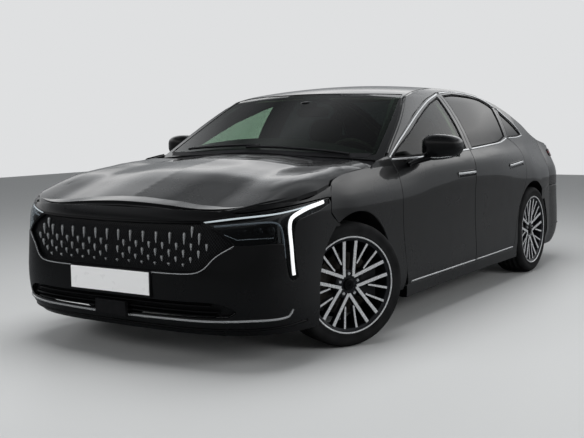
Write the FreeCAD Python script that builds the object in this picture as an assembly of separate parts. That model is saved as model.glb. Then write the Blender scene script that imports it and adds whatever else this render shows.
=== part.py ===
"""Sedan car: body, glass, doors, lids, cabin, running gear and steering.

Millimetres.  +X is the car's left, the front faces -Y, +Z is up, and the origin is on the
ground under the middle of the body.  Places along the car are stations: 0 is the nose,
1 the front axle, 2 the rear axle and 3 the tail.  Tables named ..._shares hold stations,
shares of the body height and shares of the half width.
"""
import FreeCAD, Part
import os
from math import cos, pi, radians, sin, sqrt

V = FreeCAD.Vector

# Body: overall sizes
wheelbase = 2800.0
front_overhang = 920.0
rear_overhang = 1090.0
body_width = 1840.0
body_height = 1430.0

# Body: wall and gap sizes
skin = 3.0
bumper_wall = 4.0
hood_thickness = 20.0
lid_thickness = 22.0
roof_thickness = 24.0
glass_thickness = 5.0
shut_gap = 5.0
frame_gap = 12.0
overrun = 60.0

# Body: belly and nose
belly_height = 165.0
nose_corner_length = 660.0
tail_corner_length = 560.0
nose_power = 3.5
tail_power = 3.2

# Wheels
tyre_radius = 331.0
tyre_width = 225.0
rim_radius = 256.0
rim_lip = 8.0
wheel_face = 900.0
hub_recess = 29.0
spoke_depth = 22.0
spoke_width = 15.0
lug_circle = 114.3
lug_radius = 9.0
hub_radius = 78.0
cap_radius = 32.0
disc_radius = 165.0
disc_thickness = 28.0
bearing_radius = 38.0
arch_radius = 385.0
rear_arch_radius = 378.0
arch_lip = 12.0
steer_rest = 28.0
kingpin_inset = 120.0

half_length = (front_overhang + wheelbase + rear_overhang) / 2
half_width = body_width / 2
nose_y = -half_length
tail_y = half_length
front_axle_y = nose_y + front_overhang
rear_axle_y = front_axle_y + wheelbase

profile_shares = [
    (0.112, 0.943), (0.154, 0.967), (0.210, 0.984), (0.294, 0.980), (0.392, 0.974), (0.501, 0.976),
    (0.559, 0.982), (0.601, 0.980), (0.643, 0.966), (0.671, 0.943), (0.692, 0.926), (0.769, 0.870),
    (0.839, 0.807), (0.909, 0.730), (0.944, 0.683), (0.969, 0.625), (0.983, 0.565),
]
lower_taper_shares = [
    (0.60, 0.985), (0.783, 0.985), (1.0, 1.0), (1.19, 0.997), (1.53, 1.0), (2.0, 1.0),
    (2.26, 0.985), (2.445, 0.96), (2.70, 0.90),
]
belt_taper_shares = [
    (0.60, 0.94), (0.783, 0.94), (1.0, 0.945), (1.19, 0.95), (1.352, 0.985), (1.53, 1.0),
    (1.709, 0.997), (1.887, 0.968), (2.17, 0.92), (2.537, 0.87), (2.70, 0.84),
]
taper_band_shares = (0.50, 0.66)
hood_line_shares = [
    (0.05, 0.535), (0.092, 0.547), (0.142, 0.559), (0.361, 0.605), (0.505, 0.634),
    (0.607, 0.651), (0.747, 0.664), (1.018, 0.685), (1.112, 0.699),
]
screen_line_shares = [(1.105, 0.699), (1.173, 0.764), (1.245, 0.833), (1.316, 0.901), (1.371, 0.953)]
roof_line_shares = [
    (1.371, 0.953), (1.423, 0.973), (1.5, 0.989), (1.589, 0.998), (1.696, 0.998),
    (1.78, 0.986), (1.839, 0.969),
]
back_line_shares = [(1.839, 0.969), (1.923, 0.935), (2.0, 0.888), (2.206, 0.824), (2.413, 0.759)]
deck_line_shares = [(2.413, 0.759), (2.537, 0.736), (2.72, 0.717), (2.97, 0.703)]
hood_crown_shares = [
    (0.0, 0.0), (0.22, 0.004), (0.43, 0.016), (0.58, 0.024), (0.71, 0.023), (0.82, 0.024),
    (0.87, 0.031), (0.924, 0.050), (0.962, 0.082),
]
roof_crown_share = 0.059
screen_crown_share = 0.11
nose_rake_shares = [
    (0.112, 0.075), (0.168, 0.020), (0.294, 0.0), (0.35, 0.002), (0.434, 0.010),
    (0.500, 0.021), (0.514, 0.028), (0.547, 0.058), (0.565, 0.080),
]
tail_rake_shares = [
    (0.112, 0.085), (0.168, 0.030), (0.294, 0.0), (0.42, 0.010), (0.52, 0.035), (0.62, 0.045),
    (0.70, 0.030), (0.72, 0.055),
]


def smooth(table, t):
    """Value at t of a curve that passes through the table's points without overshoot."""
    n = len(table)
    if t <= table[0][0]:
        return table[0][1]
    if t >= table[-1][0]:
        return table[-1][1]
    step = [table[i + 1][0] - table[i][0] for i in range(n - 1)]
    slope = [(table[i + 1][1] - table[i][1]) / step[i] for i in range(n - 1)]
    tangent = [slope[0]]
    for i in range(1, n - 1):
        if slope[i - 1] * slope[i] <= 0:
            tangent.append(0.0)
        else:
            w1 = 2 * step[i] + step[i - 1]
            w2 = step[i] + 2 * step[i - 1]
            tangent.append((w1 + w2) / (w1 / slope[i - 1] + w2 / slope[i]))
    tangent.append(slope[-1])
    i = 0
    while t > table[i + 1][0]:
        i += 1
    s = (t - table[i][0]) / step[i]
    a = (1 + 2 * s) * (1 - s) ** 2
    b = s * (1 - s) ** 2
    c = s * s * (3 - 2 * s)
    d = s * s * (s - 1)
    return (a * table[i][1] + b * step[i] * tangent[i]
            + c * table[i + 1][1] + d * step[i] * tangent[i + 1])


def along(u):
    """Y of a station."""
    if u <= 1:
        return nose_y + u * front_overhang
    if u <= 2:
        return front_axle_y + (u - 1) * wheelbase
    return rear_axle_y + (u - 2) * rear_overhang


def station(y):
    """Station of a Y."""
    if y <= front_axle_y:
        return (y - nose_y) / front_overhang
    if y <= rear_axle_y:
        return 1 + (y - front_axle_y) / wheelbase
    return 2 + (y - rear_axle_y) / rear_overhang


def up(share):
    return share * body_height


def out(share):
    return share * half_width


def side_x(y, z):
    """Half width of the body side at a place: the section's profile, tapered to nose and tail."""
    u = station(y)
    h = z / body_height
    low, high = taper_band_shares
    s = min(1.0, max(0.0, (h - low) / (high - low)))
    blend = s * s * (3 - 2 * s)
    taper = (1 - blend) * smooth(lower_taper_shares, u) + blend * smooth(belt_taper_shares, u)
    return half_width * smooth(profile_shares, h) * taper


def centre_z(y, table):
    return body_height * smooth(table, station(y))


def hood_z(x, y):
    return centre_z(y, hood_line_shares) - body_height * smooth(hood_crown_shares, abs(x) / half_width)


def deck_z(x, y):
    return centre_z(y, deck_line_shares) - body_height * roof_crown_share * (x / half_width) ** 2


def roof_z(x, y):
    return centre_z(y, roof_line_shares) - body_height * roof_crown_share * (x / half_width) ** 2


def back_z(x, y):
    return centre_z(y, back_line_shares) - body_height * roof_crown_share * (x / half_width) ** 2


def screen_z(x, y):
    """The windscreen's base is rounder in plan than its top."""
    u = station(y)
    first, last = screen_line_shares[0][0], screen_line_shares[-1][0]
    s = min(1.0, max(0.0, (u - first) / (last - first)))
    crown = screen_crown_share + (roof_crown_share - screen_crown_share) * s
    return centre_z(y, screen_line_shares) - body_height * crown * (x / half_width) ** 2


wing_turn = 0.24


def nose_point(t, z, inset=0.0):
    """Point of the nose's plan outline: t is -1 at the right corner, 0 ahead, 1 at the left.

    Past 1 it runs back along the side to the wheel arch.
    """
    start = along(0.783)
    if abs(t) > 1:
        y = start + (abs(t) - 1) / wing_turn * (along(0.93) - start)
        return V((side_x(y, z) - inset) * (1 if t > 0 else -1), y, z)
    reach = start - nose_y - body_height * smooth(nose_rake_shares, z / body_height)
    half = side_x(start, z)
    a = abs(t) * pi / 2
    x = (half - inset) * sin(a) ** (2 / nose_power)
    y = start - (reach - inset) * cos(a) ** (2 / nose_power)
    return V(x if t >= 0 else -x, y, z)


def tail_point(t, z, inset=0.0):
    """Point of the tail's plan outline, t as for the nose."""
    start = along(2.445)
    if abs(t) > 1:
        y = start + (abs(t) - 1) / wing_turn * (along(2.08) - start)
        return V((side_x(y, z) - inset) * (1 if t > 0 else -1), y, z)
    reach = tail_y - start - body_height * smooth(tail_rake_shares, z / body_height)
    half = side_x(start, z)
    a = abs(t) * pi / 2
    x = (half - inset) * sin(a) ** (2 / tail_power)
    y = start + (reach - inset) * cos(a) ** (2 / tail_power)
    return V(x if t >= 0 else -x, y, z)


def spread(a, b, n):
    return [a + (b - a) * i / (n - 1) for i in range(n)]


def levels(z0, z1, n):
    """Heights from z0 to z1 that close up towards the top, where the section turns."""
    share = 0.13 if z1 > up(0.93) else 0.0
    return [z0 + (z1 - z0) * (i / (n - 1) + share * sin(pi * i / (n - 1))) for i in range(n)]


def patch(rows):
    surface = Part.BSplineSurface()
    surface.interpolate(rows)
    return surface.toShape()


def upright(solid):
    """The solid, turned right side out."""
    if solid.Volume < 0:
        solid.reverse()
    return solid


def slab(outer_rows, inner_rows):
    """Solid between two patches over the same grid."""
    a = patch(outer_rows)
    b = patch(inner_rows)
    faces = [a, b]
    for first, second in zip(a.Edges, b.Edges):
        faces.append(Part.makeRuledSurface(first, second))
    shell = Part.makeShell([f for s in faces for f in s.Faces])
    shell.sewShape()
    return upright(Part.makeSolid(Part.Shell(shell.Faces)))


def side_slab(depth_out, depth_in, u0, u1, z0, z1, nu=22, nz=12):
    """Left wall between two depths under the body side."""
    rows = [[V(side_x(y, z) - depth_out, y, z) for z in levels(z0, z1, nz)]
            for y in spread(along(u0), along(u1), nu)]
    return upright(patch(rows).extrude(V(depth_out - depth_in, 0, 0)))


def top_slab(height, depth_out, depth_in, y0, y1, x1, nx=13, ny=12):
    rows = [[V(x, y, height(x, y) - depth_out) for x in spread(-x1, x1, nx)] for y in spread(y0, y1, ny)]
    return upright(patch(rows).extrude(V(0, 0, depth_out - depth_in)))


def end_slab(point, depth_out, depth_in, z0, z1, nt=29, nz=9):
    """Wrap-round wall of the nose or the tail."""
    ts = spread(-1 - wing_turn, 1 + wing_turn, nt)
    zs = spread(z0, z1, nz)
    outer = [[point(t, z, depth_out) for t in ts] for z in zs]
    inner = [[point(t, z, depth_in) for t in ts] for z in zs]
    return slab(outer, inner)


def side_outline(table):
    """Points of a side view outline, from stations and shares of the height."""
    return [V(0, along(u), up(h)) for u, h in table]


def prism(points, direction):
    wire = Part.makePolygon(points + [points[0]])
    return upright(Part.Face(wire).extrude(direction))


def side_prism(table, grow=0.0, x0=0.0, x1=None):
    """Side view outline pushed across the left half, grown or shrunk by a gap."""
    wire = Part.makePolygon(side_outline(table) + [side_outline(table)[0]])
    if grow:
        wire = wire.makeOffset2D(grow, 2)
    face = Part.Face(wire)
    face.translate(V(x0, 0, 0))
    return upright(face.extrude(V((body_width if x1 is None else x1) - x0, 0, 0)))


def front_prism(points, y0, y1):
    face = Part.Face(Part.makePolygon([V(x, y0, z) for x, z in points + [points[0]]]))
    return upright(face.extrude(V(0, y1 - y0, 0)))


def plan_prism(points, z0, z1):
    face = Part.Face(Part.makePolygon([V(x, y, z0) for x, y in points + [points[0]]]))
    return upright(face.extrude(V(0, 0, z1 - z0)))


def box(x0, x1, y0, y1, z0, z1):
    return Part.makeBox(abs(x1 - x0), abs(y1 - y0), abs(z1 - z0), V(min(x0, x1), min(y0, y1), min(z0, z1)))


def rod(start, end, radius):
    way = end.sub(start)
    return Part.makeCylinder(radius, way.Length, start, way)


def mirrored(shape):
    return shape.mirror(V(0, 0, 0), V(1, 0, 0))


def both(shape):
    """The left piece and its mirror image, joined where they meet on the centre line."""
    if shape.BoundBox.XMin > 0 or len(shape.Solids) > 1:
        return Part.makeCompound(shape.Solids + mirrored(shape).Solids)
    return shape.fuse(mirrored(shape))


def export(name, shape):
    """Write one node; the side frames had their faces merged before they were fitted."""
    if len(shape.Solids) == 1 and not name.startswith("side_frame"):
        shape = shape.removeSplitter()
    shape.exportStep("parts/" + name + ".step")
    print(name, "solids", len(shape.Solids), "valid", shape.isValid())


# Side view outlines, clockwise from the foot of the front edge
front_door_shares = [
    (1.209, 0.164), (1.204, 0.189), (1.193, 0.352), (1.187, 0.510), (1.188, 0.584), (1.189, 0.629),
    (1.181, 0.660), (1.174, 0.677), (1.366, 0.853), (1.474, 0.919), (1.572, 0.956), (1.572, 0.700),
    (1.575, 0.646), (1.573, 0.501), (1.575, 0.234), (1.577, 0.164),
]
rear_door_shares = [
    (1.577, 0.164), (1.575, 0.234), (1.573, 0.501), (1.575, 0.646), (1.578, 0.700), (1.578, 0.957),
    (1.671, 0.966), (1.758, 0.959), (1.835, 0.937), (1.880, 0.911), (1.903, 0.890), (1.873, 0.736),
    (1.941, 0.671), (1.948, 0.619), (1.941, 0.545), (1.929, 0.490), (1.897, 0.404), (1.873, 0.341),
    (1.850, 0.245), (1.840, 0.164),
]
front_window_shares = [
    (1.192, 0.685), (1.374, 0.834), (1.479, 0.902), (1.558, 0.937), (1.558, 0.694), (1.302, 0.678),
]
rear_window_shares = [
    (1.592, 0.694), (1.592, 0.944), (1.671, 0.954), (1.754, 0.948), (1.827, 0.930), (1.870, 0.902),
    (1.885, 0.885), (1.860, 0.737), (1.807, 0.716),
]
quarter_window_shares = [(1.883, 0.742), (1.912, 0.870), (1.971, 0.801), (2.028, 0.741), (1.964, 0.733)]
fender_shares = [
    (0.880, 0.420), (0.786, 0.472), (0.712, 0.512), (0.735, 0.570), (0.777, 0.610), (0.935, 0.634),
    (1.091, 0.649), (1.112, 0.673), (1.150, 0.684), (1.168, 0.688), (1.181, 0.660), (1.189, 0.629),
    (1.188, 0.584), (1.187, 0.510), (1.193, 0.352), (1.204, 0.189), (1.209, 0.150), (1.100, 0.150),
    (1.100, 0.300), (1.0, 0.42),
]
front_opening_shares = [
    (1.226, 0.205), (1.220, 0.500), (1.226, 0.700), (1.548, 0.700), (1.545, 0.205),
]
rear_opening_shares = [
    (1.600, 0.205), (1.600, 0.740), (1.880, 0.740), (1.915, 0.640), (1.880, 0.470), (1.840, 0.350), (1.820, 0.205),
]
front_daylight_shares = [
    (1.215, 0.690), (1.374, 0.824), (1.479, 0.892), (1.548, 0.924), (1.548, 0.68), (1.22, 0.68),
]
rear_daylight_shares = [
    (1.602, 0.68), (1.602, 0.930), (1.671, 0.942), (1.754, 0.936), (1.827, 0.918),
    (1.862, 0.895), (1.878, 0.875), (1.855, 0.72), (1.80, 0.70),
]


def top_z(x, y):
    """Height of the body's top at a place, hood to boot lid."""
    u = station(y)
    if u < screen_line_shares[0][0]:
        return hood_z(x, y)
    if u < roof_line_shares[0][0]:
        return screen_z(x, y)
    if u < back_line_shares[0][0]:
        return roof_z(x, y)
    if u < deck_line_shares[0][0]:
        return back_z(x, y)
    return deck_z(x, y)


def edge_z(y):
    """Height at which the side meets the top."""
    low = up(0.5)
    high = up(0.983)
    for _ in range(40):
        mid = (low + high) / 2
        if top_z(side_x(y, mid), y) > mid:
            low = mid
        else:
            high = mid
    return low


def edge_x(y):
    return side_x(y, edge_z(y))


def wheel_well(axle_y, radius, x0):
    return rod(V(x0, axle_y, tyre_radius), V(half_width + overrun, axle_y, tyre_radius), radius)


# Door hinges: distance behind the front shut line, and below the widest skin
hinge_setback = 56.0
hinge_depth = 14.0
door_depth = 72.0
trim_depth = 108.0
frame_depth = 26.0
door_flange = 14.0
hinge_swing = 64.0
tip_swing = 112.0
ring_depth = 78.0
ring_back = 98.0
upper_ring_depth = 46.0
front_hinge_y = along(1.187) + hinge_setback
rear_hinge_y = along(1.575) + hinge_setback
front_hinge_x = side_x(front_hinge_y, up(0.5)) - hinge_depth
rear_hinge_x = side_x(rear_hinge_y, up(0.5)) - hinge_depth
belt_share = 0.690
card_top_share = 0.665
roof_reach_share = 0.983


def door_panel(outline, window, opening, hinge_y, u0, u1):
    """Door: a full skin, a box behind it from the hinge back, an inner trim and the window frame."""
    deep = ring_back + overrun
    belt = up(belt_share)
    z0 = up(outline[0][1]) - 2 * shut_gap
    z1 = up(roof_reach_share)
    grid = (u0, u1, z0, z1, 8, 16)
    blank = side_slab(0, trim_depth, *grid).common(side_prism(outline, -shut_gap / 2))
    behind = box(-overrun, body_width + overrun, hinge_y + 2 * hinge_radius, tail_y, 0, belt)
    keep = side_prism(outline, -door_flange).common(behind)
    below = box(-overrun, body_width + overrun, nose_y, tail_y, -overrun, belt)
    flange = side_slab(skin, deep, *grid).common(below).cut(keep)
    card = side_prism(opening, -2 * shut_gap).common(box(-overrun, body_width, nose_y, tail_y, 0, up(card_top_share)))
    back = side_slab(door_depth, deep, *grid).common(below).cut(card)
    above = box(-overrun, body_width + overrun, nose_y, tail_y, belt, body_height)
    frame_back = side_slab(frame_depth, deep, *grid).common(above)
    return largest(blank.cut(flange).cut(back).cut(frame_back).cut(side_prism(window)))


def largest(shape):
    """The main solid, without cutting crumbs."""
    return max(shape.Solids, key=lambda solid: solid.Volume)


def door_glass(window, u0, u1):
    pane = side_slab(frame_depth / 3, frame_depth / 3 + glass_thickness, u0, u1, up(0.62), up(roof_reach_share), 7, 8)
    return pane.common(side_prism(window))


def cabin_doors():
    front = door_panel(front_door_shares, front_window_shares, front_opening_shares, front_hinge_y, 1.10, 1.65)
    rear = door_panel(rear_door_shares, rear_window_shares, rear_opening_shares, rear_hinge_y, 1.50, 2.02)
    return front, rear


def side_frame():
    """Body side: sill, hinge pillar, B pillar, roof rail, quarter panel and the rings behind the doors."""
    z0 = up(0.112)
    z1 = up(roof_reach_share)
    deep = ring_back + overrun
    outline = [(station(y), edge_z(y) / body_height) for y in spread(along(1.15), along(2.445), 22)]
    outline += [(2.445, 0.462), (2.30, 0.440), (2.10, 0.30), (2.10, 0.112), (1.212, 0.112), (1.209, 0.16)]
    outline += [(1.196, 0.165), (1.150, 0.40)]
    blank = side_slab(0, ring_back, 1.10, 2.445, z0 - overrun, z1, 14, 14).common(side_prism(outline))
    cuts = []
    zone = side_prism(front_door_shares, shut_gap / 2).fuse(side_prism(rear_door_shares, shut_gap / 2))
    low = box(-overrun, body_width + overrun, nose_y, tail_y, 0, up(belt_share))
    low_zone = side_slab(-overrun, ring_depth, 1.06, 2.03, z0, up(belt_share) + overrun, 10, 13)
    high_zone = side_slab(-overrun, upper_ring_depth, 1.06, 2.03, up(0.62), z1, 10, 9)
    cuts.append(low_zone.common(zone.common(low)))
    cuts.append(high_zone.common(zone.cut(low)))
    cuts.append(side_prism(front_opening_shares))
    cuts.append(side_prism(rear_opening_shares))
    cuts.append(side_prism(front_daylight_shares))
    cuts.append(side_prism(rear_daylight_shares))
    cuts.append(side_prism(quarter_window_shares))
    hollow = side_slab(skin, deep, 1.93, 2.5, z0 - overrun, up(0.72), 7, 12)
    cuts.append(hollow.common(box(0, body_width, along(1.995), tail_y, 0, up(0.70))))
    cuts.append(wheel_well(rear_axle_y, rear_arch_radius, 0.0))
    for x, y in ((front_hinge_x, front_hinge_y), (rear_hinge_x, rear_hinge_y)):
        cuts.append(box(x - hinge_swing, x + hinge_swing, y - hinge_swing, y + hinge_swing / 2, up(0.164), up(0.70)))
    cuts.append(box(front_hinge_x - tip_swing, half_width, front_hinge_y - tip_swing, front_hinge_y, up(0.62), up(0.70)))
    for tool in cuts:
        blank = blank.cut(tool)
    return largest(blank).removeSplitter()


def plan_edge(u0, u1, inset, n):
    """Plan points of the line where side meets top, moved inboard."""
    return [(edge_x(y) - inset, y) for y in spread(along(u0), along(u1), n)]


def mirrored_plan(points):
    """Plan outline closed over the centre line: the left half's points and their mirror images."""
    return points + [(-x, y) for x, y in reversed(points)]


# Windscreen, roof and rear window: half widths in plan at their stations
screen_base_shares = [(1.111, 0.0), (1.116, 0.35), (1.138, 0.62), (1.166, 0.820)]
header_shares = [(1.371, 0.0), (1.376, 0.30), (1.396, 0.55), (1.407, 0.645)]
back_head_shares = [(1.860, 0.0), (1.857, 0.30), (1.845, 0.58)]
back_foot_shares = [(2.405, 0.0), (2.395, 0.35), (2.360, 0.62)]


def plan_points(table):
    """Plan points from stations and shares of the half width."""
    return [(out(share), along(u)) for u, share in table]


def glass_outline(base, head):
    """Plan outline of a front or rear window, from its centre base over the left to its head."""
    return mirrored_plan(plan_points(base) + list(reversed(plan_points(head))))


def roof_panel():
    """Roof skin with its front and rear headers and the tops of the screen pillars."""
    roof = top_slab(roof_z, 0, roof_thickness, along(1.371), along(1.839), out(0.70), 7, 7)
    screen = top_slab(screen_z, 0, roof_thickness, along(1.08), along(1.371), out(0.98), 9, 6)
    back = top_slab(back_z, 0, roof_thickness, along(1.839), along(2.413), out(0.93), 7, 6)
    edge = plan_prism(mirrored_plan(plan_edge(1.155, 2.42, upper_ring_depth, 20)), 0, body_height)
    shell = roof.fuse([screen, back]).common(edge)
    for base, head in ((screen_base_shares, header_shares), (back_foot_shares, back_head_shares)):
        shell = shell.cut(plan_prism(glass_outline(base, head), 0, 2 * body_height))
    return largest(shell)


def windscreen():
    pane = top_slab(screen_z, skin, skin + glass_thickness, along(1.08), along(1.42), out(0.98), 9, 6)
    return pane.common(plan_prism(glass_outline(screen_base_shares, header_shares), 0, 2 * body_height))


def rear_window():
    pane = top_slab(back_z, skin, skin + glass_thickness, along(1.80), along(2.413), out(0.93), 7, 6)
    return pane.common(plan_prism(glass_outline(back_foot_shares, back_head_shares), 0, 2 * body_height))


# Nose: front view outlines, shares of the half width and of the height
grille_shares = [
    (0.0, 0.516), (0.435, 0.516), (0.598, 0.502), (0.700, 0.468), (0.752, 0.442), (0.680, 0.418),
    (0.510, 0.342), (0.0, 0.342),
]
lamp_front_shares = [(0.590, 0.509), (0.760, 0.531), (0.870, 0.545), (1.02, 0.551), (1.02, 0.444), (0.762, 0.444)]
lamp_side_shares = [(0.375, 0.551), (0.457, 0.554), (0.700, 0.562), (0.722, 0.564), (0.700, 0.556), (0.375, 0.505)]
intake_shares = [(0.0, 0.238), (0.60, 0.238), (0.66, 0.215), (0.64, 0.178), (0.0, 0.178)]
hood_front_share = 0.553
hood_side_shares = [(0.60, 0.560), (0.728, 0.575), (0.777, 0.614), (0.935, 0.636), (1.091, 0.651), (1.104, 0.668)]
hood_rear_shares = [(1.104, 0.60), (1.1, 0.0)]
grille_wall = 34.0
grille_inset = 14.0
grille_hole_share = 0.96
grille_hole_height_share = 0.92
intake_lap_share = 1.12
lamp_depth = 90.0
lamp_inset = 1.0


def front_view(table):
    """Closed front view points over both sides, from shares."""
    points = [(out(x), up(z)) for x, z in table]
    return points + [(-x, z) for x, z in reversed(points) if x]


def lamp_zone(grow):
    """Space of the left headlamp."""
    points = [(out(x), up(z)) for x, z in lamp_front_shares]
    front = front_prism(points, nose_y - overrun, along(0.375))
    side = side_prism(lamp_side_shares, 0.0, out(0.60), half_width + overrun)
    return front.fuse(side)


def nose_wall(depth_out, depth_in):
    return end_slab(nose_point, depth_out, depth_in, up(0.112), up(0.575), 23, 8)


def front_bumper():
    """Bumper skin round the nose, open for the grille, lamps and lower intake."""
    wall = nose_wall(0, bumper_wall)
    lamps = both(lamp_zone(0))
    wall = wall.cut(front_prism(front_view(grille_shares), nose_y - overrun, along(0.5)))
    wall = wall.cut(front_prism(front_view(intake_shares), nose_y - overrun, along(0.5)))
    wall = wall.cut(lamps)
    wall = wall.cut(box(-body_width, body_width, nose_y - overrun, along(1.1), up(0.547), up(0.60)))
    behind = side_prism([(0.70, 0.5145), (0.712, 0.512), (0.786, 0.472), (0.880, 0.420), (0.96, 0.38), (0.96, 0.60),
                         (0.70, 0.60)], 0.0, out(0.80))
    wall = wall.cut(both(behind)).cut(both(wheel_well(front_axle_y, arch_radius, 0.0)))
    return largest(wall)


def grille():
    """Grille panel set back in the nose."""
    zone = front_prism(front_view(grille_shares), nose_y - overrun, along(0.5))
    mid = (grille_shares[0][1] + grille_shares[-1][1]) / 2
    hole = [(x * grille_hole_share, mid + (z - mid) * grille_hole_height_share) for x, z in grille_shares]
    panel = nose_wall(grille_inset, grille_wall).common(zone)
    rim_part = nose_wall(0, grille_inset + skin).common(zone)
    rim_part = rim_part.cut(front_prism(front_view(hole), nose_y - 2 * overrun, along(0.6)))
    return largest(panel.fuse(rim_part).cut(both(lamp_zone(0))))


def headlamp():
    return nose_wall(lamp_inset, lamp_depth).common(lamp_zone(0)).common(box(out(0.5), half_width, nose_y, along(0.783), 0, body_height))


def lower_grille():
    """Slatted lower intake."""
    low, high = intake_shares[-1][1], intake_shares[0][1]
    mid = (low + high) / 2
    seat = [(x * intake_lap_share, mid + (z - mid) * intake_lap_share) for x, z in intake_shares]
    zone = front_prism(front_view(seat), nose_y - overrun, along(0.5))
    return nose_wall(bumper_wall, grille_wall).common(zone)


def hood_plan(gap):
    front = [nose_point(t, up(hood_front_share), bumper_wall + gap) for t in spread(0.0, 0.80, 12)]
    points = [(p.x, p.y) for p in front]
    points += [(side_x(along(u), up(h)) - gap - skin, along(u)) for u, h in hood_side_shares]
    points += [(out(x), along(u)) for u, x in hood_rear_shares[:1]]
    points.append((0.0, along(hood_rear_shares[1][0])))
    return points


def hood():
    points = hood_plan(shut_gap)
    outline = points + [(-x, y) for x, y in reversed(points) if x]
    panel = top_slab(hood_z, 0, hood_thickness, along(0.02), along(1.12), out(0.98), 13, 8)
    return panel.common(plan_prism(outline, 0, body_height))


# Notch of the wing's foot, round the door's hinge line, for the door's lower corner to swing in
foot_notch_radius = 30.0
foot_notch_share = 0.222


def fender():
    """Left front wing between bumper, hood, door and sill."""
    skin_part = side_slab(0, skin, 0.60, 1.25, up(0.112), up(0.70), 6, 12)
    skin_part = skin_part.common(side_prism(fender_shares)).cut(side_prism(front_door_shares, shut_gap / 2))
    skin_part = skin_part.cut(wheel_well(front_axle_y, arch_radius, 0.0))
    foot = V(front_hinge_x, front_hinge_y, 0)
    return skin_part.cut(rod(foot, foot + V(0, 0, up(foot_notch_share)), foot_notch_radius))



# Tail: rear view outlines, shares of the half width and of the height
tail_lamp_shares = [(0.60, 0.650), (1.02, 0.650), (1.02, 0.612), (0.60, 0.590)]
lid_lamp_shares = [(0.0, 0.650), (0.59, 0.650), (0.59, 0.590), (0.0, 0.580)]
tail_break_share = 0.448
lid_width_share = 0.600
lamp_body = 60.0


def tail_wall(depth_out, depth_in):
    return end_slab(tail_point, depth_out, depth_in, up(0.112), up(0.735), 23, 8)


def tail_zone(table, y0):
    points = [(out(x), up(z)) for x, z in table]
    return front_prism(points, y0, tail_y + overrun)


def rear_bumper():
    """Rear bumper skin, with side wings to the wheel arches."""
    wall = tail_wall(0, bumper_wall)
    wall = wall.common(box(-body_width, body_width, along(2.05), tail_y + overrun, up(0.112), up(tail_break_share)))
    ahead = side_prism([(2.05, 0.10), (2.10, 0.10), (2.10, 0.30), (2.30, 0.440), (2.445, 0.462), (2.445, 0.50), (2.05, 0.50)])
    wall = wall.cut(both(ahead)).cut(both(wheel_well(rear_axle_y, rear_arch_radius, 0.0)))
    for x in (-tip_x, tip_x):
        wall = wall.cut(rod(V(x, rear_axle_y, pipe_z), V(x, tail_y + overrun, pipe_z), tip_radius + 2 * shut_gap))
    return largest(wall)


def quarter_corner():
    """Left rear corner of the body, between bumper, boot lid and lamp."""
    wall = tail_wall(0, bumper_wall)
    wall = wall.common(box(out(lid_width_share) + shut_gap / 2, body_width, along(2.445), tail_y + overrun,
                           up(tail_break_share), up(0.735)))
    return largest(wall.cut(tail_zone(tail_lamp_shares, along(tail_reach_station))).cut(above_deck(roof_thickness)))


def above_deck(depth=0.0):
    """Everything above the deck, or above a surface under it."""
    return top_slab(deck_z, -body_height, depth, along(2.413), along(2.99), out(0.95), 7, 5)


tail_reach_station = 2.58
lid_top_share = 0.640


def deck_sides():
    """Tops of the left quarter beside the boot lid."""
    deck = top_slab(deck_z, 0, roof_thickness, along(2.413), along(2.99), out(0.95), 7, 5)
    lane = [(out(lid_top_share), along(2.445)), (out(lid_top_share), along(2.99))]
    points = [(edge_x(y), y) for y in spread(along(2.46), along(2.445), 2)]
    tail = [tail_point(t, up(0.70)) for t in spread(0.0, 1.0, 16)]
    rim = [(q.x, q.y) for q in tail if q.x > out(lid_top_share)]
    return deck.common(plan_prism(lane + rim + points, 0, body_height))


def boot_lid():
    """Boot lid: deck, rear face and the plate recess."""
    deck = top_slab(deck_z, 0, lid_thickness, along(2.413), along(2.99), out(0.95), 7, 5)
    tail = [tail_point(t, up(0.70), bumper_wall / 2) for t in spread(0.0, 1.0, 30)]
    rim = [(q.x, q.y) for q in tail if q.x < out(lid_width_share)]
    left = [(0.0, along(2.418)), (out(lid_width_share), along(2.418)), (out(lid_width_share), rim[-1][1])]
    rim = list(reversed(rim[1:]))
    half = left[1:] + rim
    outline = [(0.0, along(2.418))] + half + [(0.0, tail[0].y)]
    outline += [(-x, y) for x, y in reversed(half)]
    deck = deck.common(plan_prism(outline, 0, body_height))
    face = tail_wall(0, lid_thickness)
    face = face.common(box(-out(lid_width_share), out(lid_width_share), along(2.60), tail_y + overrun,
                           up(tail_break_share) + shut_gap, up(0.695)))
    return deck.fuse(face.cut(above_deck())).cut(both(tail_zone(lid_lamp_shares, along(2.60))))


def tail_lamp():
    lamp = tail_wall(lamp_inset, lamp_body).common(tail_zone(tail_lamp_shares, along(tail_reach_station)))
    return lamp.common(box(out(lid_width_share) + shut_gap, half_width, along(2.445), tail_y + overrun, 0, body_height))


def lid_lamp():
    return tail_wall(lamp_inset, lid_thickness).common(both(tail_zone(lid_lamp_shares, along(2.60))))


# Structure
floor_height = 180.0
floor_thickness = 14.0
tunnel_width = 240.0
tunnel_height = 110.0
rail_width = 70.0
rail_height = 110.0
bulkhead_thickness = 16.0
firewall_station = 1.160
rear_bulkhead_station = 2.0
cowl_share = 0.660
shelf_share = 0.700
boot_floor_share = 0.270


def inner_x(y, z):
    """Half width inside the body side ring."""
    return side_x(y, z) - ring_back


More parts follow.
